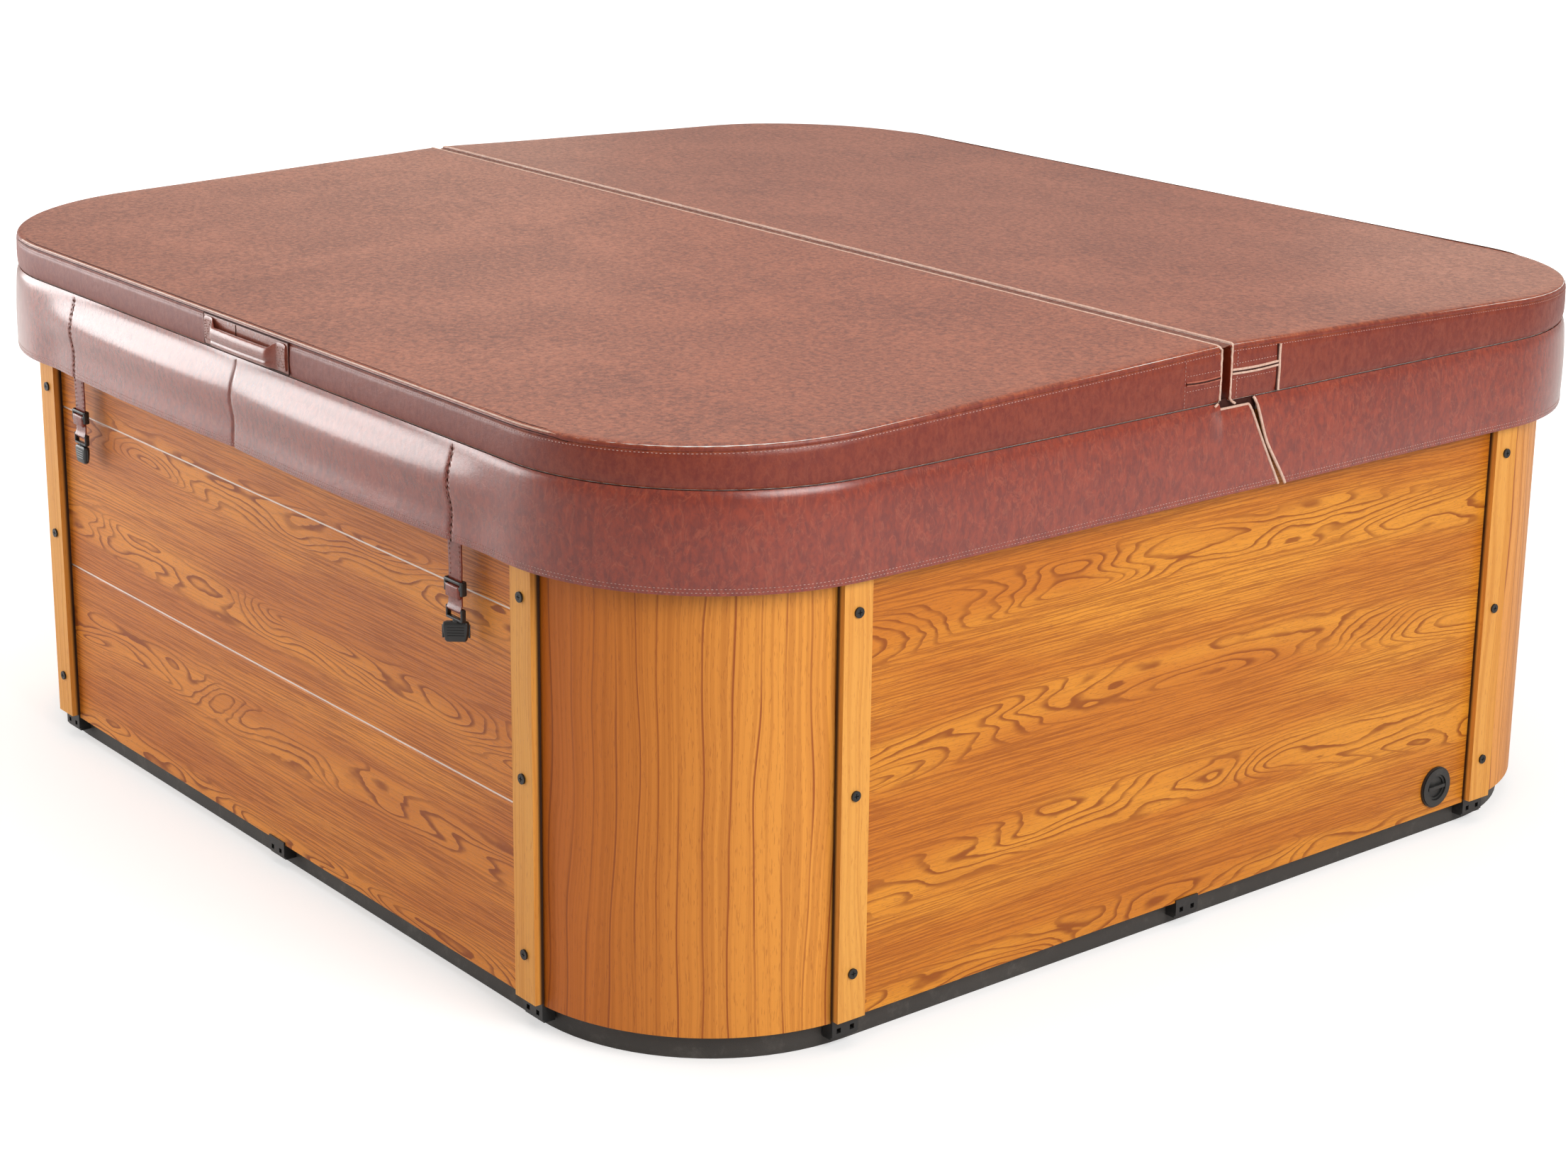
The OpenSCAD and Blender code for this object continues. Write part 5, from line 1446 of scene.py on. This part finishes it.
@dataclass
class Dressing:
    """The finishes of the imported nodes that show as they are."""

    corner: float = 0.340
    grooves: tuple[float, ...] = (0.341, 0.640)

    def finishes(self) -> dict[str, Finish]:
        """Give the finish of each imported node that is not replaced."""
        low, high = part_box("corner_panel_front_right")
        wall = (high.x, -low.y)
        middle_x, middle_y = high.x - self.corner, low.y + self.corner
        found: dict[str, Finish] = {}
        for word, seed in (("front", 2.3), ("back", 9.1)):
            found[f"{word}_panel"] = FiguredWood(
                f"{word}_planks", Run.X, seed, light=(0.780, 0.272, 0.026), mid=(0.590, 0.168, 0.011),
                dark=(0.250, 0.050, 0.004), grooves=self.grooves)
        for word, seed in (("right", 5.6), ("left", 14.2)):
            found[f"{word}_panel"] = FiguredWood(
                f"{word}_planks", Run.Y, seed, light=(0.760, 0.295, 0.026), mid=(0.595, 0.182, 0.012),
                dark=(0.280, 0.064, 0.004))
        # the battens get a painted shade on their side faces next to the panel walls
        found["corner_battens"] = StraightWood(
            "batten_wood", 3.7, light=(0.820, 0.400, 0.082), dark=(0.500, 0.160, 0.022), hairs=45.0,
            hair_share=0.35, warm=(0.740, 0.300, 0.048), wall=wall)
        found["support_frame"] = StraightWood(
            "frame_wood", 6.1, light=(0.640, 0.480, 0.280), dark=(0.420, 0.270, 0.130), hairs=30.0,
            hair_share=0.3, warm=(0.560, 0.400, 0.220))
        # the corner panels' tone across the bend is a painted shade
        for word, sx, sy in (("front_right", 1, -1), ("back_right", 1, 1), ("back_left", -1, 1),
                             ("front_left", -1, -1)):
            found[f"corner_panel_{word}"] = StraightWood(
                f"corner_{word}", 4.4 + sx + 2 * sy, bend=(sx * middle_x, -sy * middle_y, self.corner))
        found.update(self.fittings())
        return found

    @staticmethod
    def fittings() -> dict[str, Finish]:
        """Give the finish of each fitting and machine part."""
        black = Moulded("black_plastic", (0.012, 0.012, 0.012), (0.020, 0.020, 0.019), 0.38, 0.06, 1200.0)
        base = Moulded("base_plastic", (0.040, 0.035, 0.031), (0.052, 0.046, 0.041), 0.52,
                       dust=0.10, grain=600.0, depth=0.0004)
        grey = Moulded("fitting_plastic", (0.38, 0.40, 0.42), (0.42, 0.44, 0.46), 0.22,
                       grain=1600.0, coat=0.3)
        steel = BrushedSteel("bare_steel")
        pipe = Moulded("pipe_plastic", (0.78, 0.78, 0.75), (0.72, 0.72, 0.70), 0.40, 0.10)
        filters = Moulded("filter_plastic", (0.68, 0.68, 0.66), (0.74, 0.74, 0.72), 0.38)
        button = Moulded("button_plastic", (0.38, 0.39, 0.40), (0.42, 0.43, 0.44), 0.35, grain=1600.0)
        foam = Moulded("cover_foam", (0.82, 0.82, 0.79), (0.88, 0.88, 0.85), 0.75, grain=260.0, depth=0.0008)
        kinds: list[tuple[Finish, tuple[str, ...]]] = [
            (base, ("base_pan",)),
            (black, ("base_clips", "drain_valve", "drain_cap", "pump_wet_end")),
            (Moulded("screw_coating", (0.013, 0.013, 0.014), (0.022, 0.022, 0.022), 0.30, 0.05, metallic=0.4),
             ("batten_screws",)),
            (grey, ("suction_cover_left", "suction_cover_right", "fixed_jets", "rotary_jet_housings",
                    "rotary_nozzle_left", "rotary_nozzle_right", "filter_lid", "air_knob", "diverter_knob")),
            (steel, ("drain_grate", "pump_impeller", "heater", "cover_channel_front", "cover_channel_back")),
            (pipe, ("suction_pipes", "return_pipes")),
            (filters, ("filter_bucket", "filter_weir")),
            (button, ("jets_button", "light_button", "warmth_button")),
            (foam, ("cover_core_front", "cover_core_back")),
            (Acrylic("shell_acrylic"), ("tub_shell",)),
            (Lens("light_lens"), ("footwell_light",)),
            (Moulded("panel_gloss", (0.028, 0.028, 0.032), (0.036, 0.036, 0.040), 0.16, 0.03, coat=0.6),
             ("control_panel",)),
            (Moulded("foil_facing", (0.68, 0.70, 0.72), (0.52, 0.54, 0.56), 0.30, grain=180.0, depth=0.002,
                     metallic=0.8), ("wall_insulation",)),
            (Moulded("filter_fleece", (0.78, 0.82, 0.88), (0.70, 0.74, 0.80), 0.85, grain=420.0,
                     depth=0.0012), ("filter_cartridge",)),
            (Moulded("motor_paint", (0.048, 0.057, 0.072), (0.058, 0.068, 0.084), 0.42, 0.08),
             ("pump_motor",)),
            (Moulded("box_paint", (0.085, 0.095, 0.115), (0.100, 0.110, 0.130), 0.46, 0.08),
             ("control_box",)),
        ]
        return {node: finish for finish, nodes in kinds for node in nodes}

    def build(self) -> None:
        """Put each finish on its node's own slots."""
        for node, finish in self.finishes().items():
            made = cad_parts[node]
            if not made.material_slots:
                made.data.materials.append(finish.material())
            for slot in made.material_slots:
                slot.link = "OBJECT"
                slot.material = finish.material()
            LOG.info("%s: %s", node, finish.name)


@dataclass
class Studio:
    """The pale floor, the soft lamps and the camera."""

    camera_place: Point = (4.129, -3.2847, 1.9873)
    camera_yaw: float = 141.262
    camera_pitch: float = 15.814
    camera_roll: float = 0.633
    image_width: float = 2212.0
    image_height: float = 1659.0
    focal_px: float = 4190.5
    centre_px: tuple[float, float] = (1100.0, 679.3)
    sensor: float = 36.0
    air: float = 0.36
    warm_air: Colour = (1.0, 0.93, 0.84)
    warm_lamp: Colour = (1.0, 0.84, 0.66)
    mirror_share: float = 0.38
    floor_half: float = 40.0
    floor_height: float = -0.0004
    floor_colour: Colour = (0.66, 0.66, 0.66)
    glow_reach: tuple[float, float] = (1.3, 4.5)
    glow: tuple[float, float] = (0.48, 0.98)

    def build(self) -> None:
        """Build the floor, the light and the camera."""
        self.floor()
        self.world()
        self.lamps()
        self.camera()

    def seen(self, w: Wiring) -> bpy.types.NodeSocket:
        """Give 1 for rays from the camera and through glass, and part of it for reflections."""
        path = w.node("ShaderNodeLightPath").outputs
        straight = w.calc("MAXIMUM", path["Is Camera Ray"], path["Is Transmission Ray"])
        return w.calc("MAXIMUM", straight, w.times(path["Is Glossy Ray"], self.mirror_share))

    def floor(self) -> None:
        """Lay a wide pale floor that keeps the tub's shadow and shows white farther away."""
        mesh = bpy.data.meshes.new("studio_floor")
        size = self.floor_half
        mesh.from_pydata([(-size, -size, 0), (size, -size, 0), (size, size, 0), (-size, size, 0)], [],
                         [(0, 1, 2, 3)])
        made = bpy.data.objects.new("studio_floor", mesh)
        made.location.z = self.floor_height
        bpy.context.scene.collection.objects.link(made)
        paint = bpy.data.materials.new("floor_paint")
        paint.use_nodes = True
        w = Wiring(paint.node_tree)
        away = w.node("ShaderNodeVectorMath", {0: w.place()}, operation="LENGTH").outputs["Value"]
        glow = w.rise(away, *self.glow_reach, *self.glow)
        w.dress(paint.node_tree.nodes["Principled BSDF"], {
            "Base Color": self.floor_colour,
            "Roughness": 0.9,
            "Emission Color": (1.0, 1.0, 1.0),
            "Emission Strength": w.times(self.seen(w), glow),
        })
        mesh.materials.append(paint)

    def world(self) -> None:
        """Light the air softly and show it white."""
        world = bpy.data.worlds.new("studio_air")
        bpy.context.scene.world = world
        world.use_nodes = True
        w = Wiring(world.node_tree)
        back = world.node_tree.nodes["Background"]
        w.feed(back.inputs["Color"], w.mix(self.seen(w), self.warm_air, (1.0, 1.0, 1.0)))
        w.feed(back.inputs["Strength"], w.rise(self.seen(w), 0.0, 1.0, self.air, 1.0))

    def lamps(self) -> None:
        """Hang the overhead light, the front-left softbox, the fill on the right and three behind."""
        for name, place, aim, wide, tall, power in (
                ("overhead", (0.0, 0.0, 4.6), (0.0, 0.0, 0.0), 4.5, 4.5, 104.0),
                ("softbox_left", (-4.7, -3.7, 1.75), (0.0, -0.9, 0.80), 4.8, 2.6, 214.0),
                ("fill_right", (5.3, -0.2, 3.3), (0.6, -0.2, 0.4), 3.6, 2.8, 212.0),
                ("behind_left", (-6.2, 2.5, 2.0), (0.0, 0.0, 0.9), 2.6, 2.0, 10.0),
                ("behind_high", (-5.2, 4.0, 3.7), (0.0, 0.0, 0.9), 4.0, 1.4, 14.0),
                ("behind_right", (-2.6, 6.2, 2.0), (0.0, 0.0, 0.9), 2.2, 2.0, 12.0)):
            lamp = bpy.data.lights.new(name, "AREA")
            if name.startswith("behind"):
                lamp.color = self.warm_lamp
            lamp.shape = "RECTANGLE"
            lamp.size, lamp.size_y = wide, tall
            lamp.energy = power
            made = bpy.data.objects.new(name, lamp)
            made.location = place
            made.rotation_euler = (Vector(aim) - Vector(place)).to_track_quat("-Z", "Y").to_euler()
            bpy.context.scene.collection.objects.link(made)

    def camera(self) -> None:
        """Stand the camera where the photograph was taken from."""
        lens = bpy.data.cameras.new("camera")
        lens.sensor_fit = "HORIZONTAL"
        lens.sensor_width = self.sensor
        lens.lens = self.focal_px / self.image_width * self.sensor
        lens.shift_x = (self.image_width / 2 - self.centre_px[0]) / self.image_width
        lens.shift_y = (self.centre_px[1] - self.image_height / 2) / self.image_width
        lens.clip_end = 100.0
        made = bpy.data.objects.new("camera", lens)
        yaw, pitch, roll = (math.radians(a) for a in (self.camera_yaw, self.camera_pitch, self.camera_roll))
        ahead = Vector((math.cos(yaw) * math.cos(pitch), math.sin(yaw) * math.cos(pitch), -math.sin(pitch)))
        level = Vector((math.sin(yaw), -math.cos(yaw), 0.0))
        right = math.cos(roll) * level + math.sin(roll) * level.cross(ahead)
        up = right.cross(ahead)
        rows = [(right[k], up[k], -ahead[k], self.camera_place[k]) for k in range(3)]
        made.matrix_world = Matrix([*rows, (0, 0, 0, 1)])
        bpy.context.scene.collection.objects.link(made)
        bpy.context.scene.camera = made


def main() -> None:
    """Build the studio, the cover, the tie-downs, the pillows and the dressed cabinet, in order."""
    logging.basicConfig(level=logging.INFO, format="%(name)s: %(message)s")
    bpy.context.scene.view_settings.view_transform = "Standard"
    Studio().build()
    form = CoverForm.from_frame()
    Cover(form).build()
    Skirts.from_frame(form).build()
    Handle(form).build()
    for side, turn in ((-1, 0.0), (1, 50.0)):
        TieDown(side, turn).build()
        Pillow(side).build()
    Dressing().build()


if __name__ == "__main__":
    main()
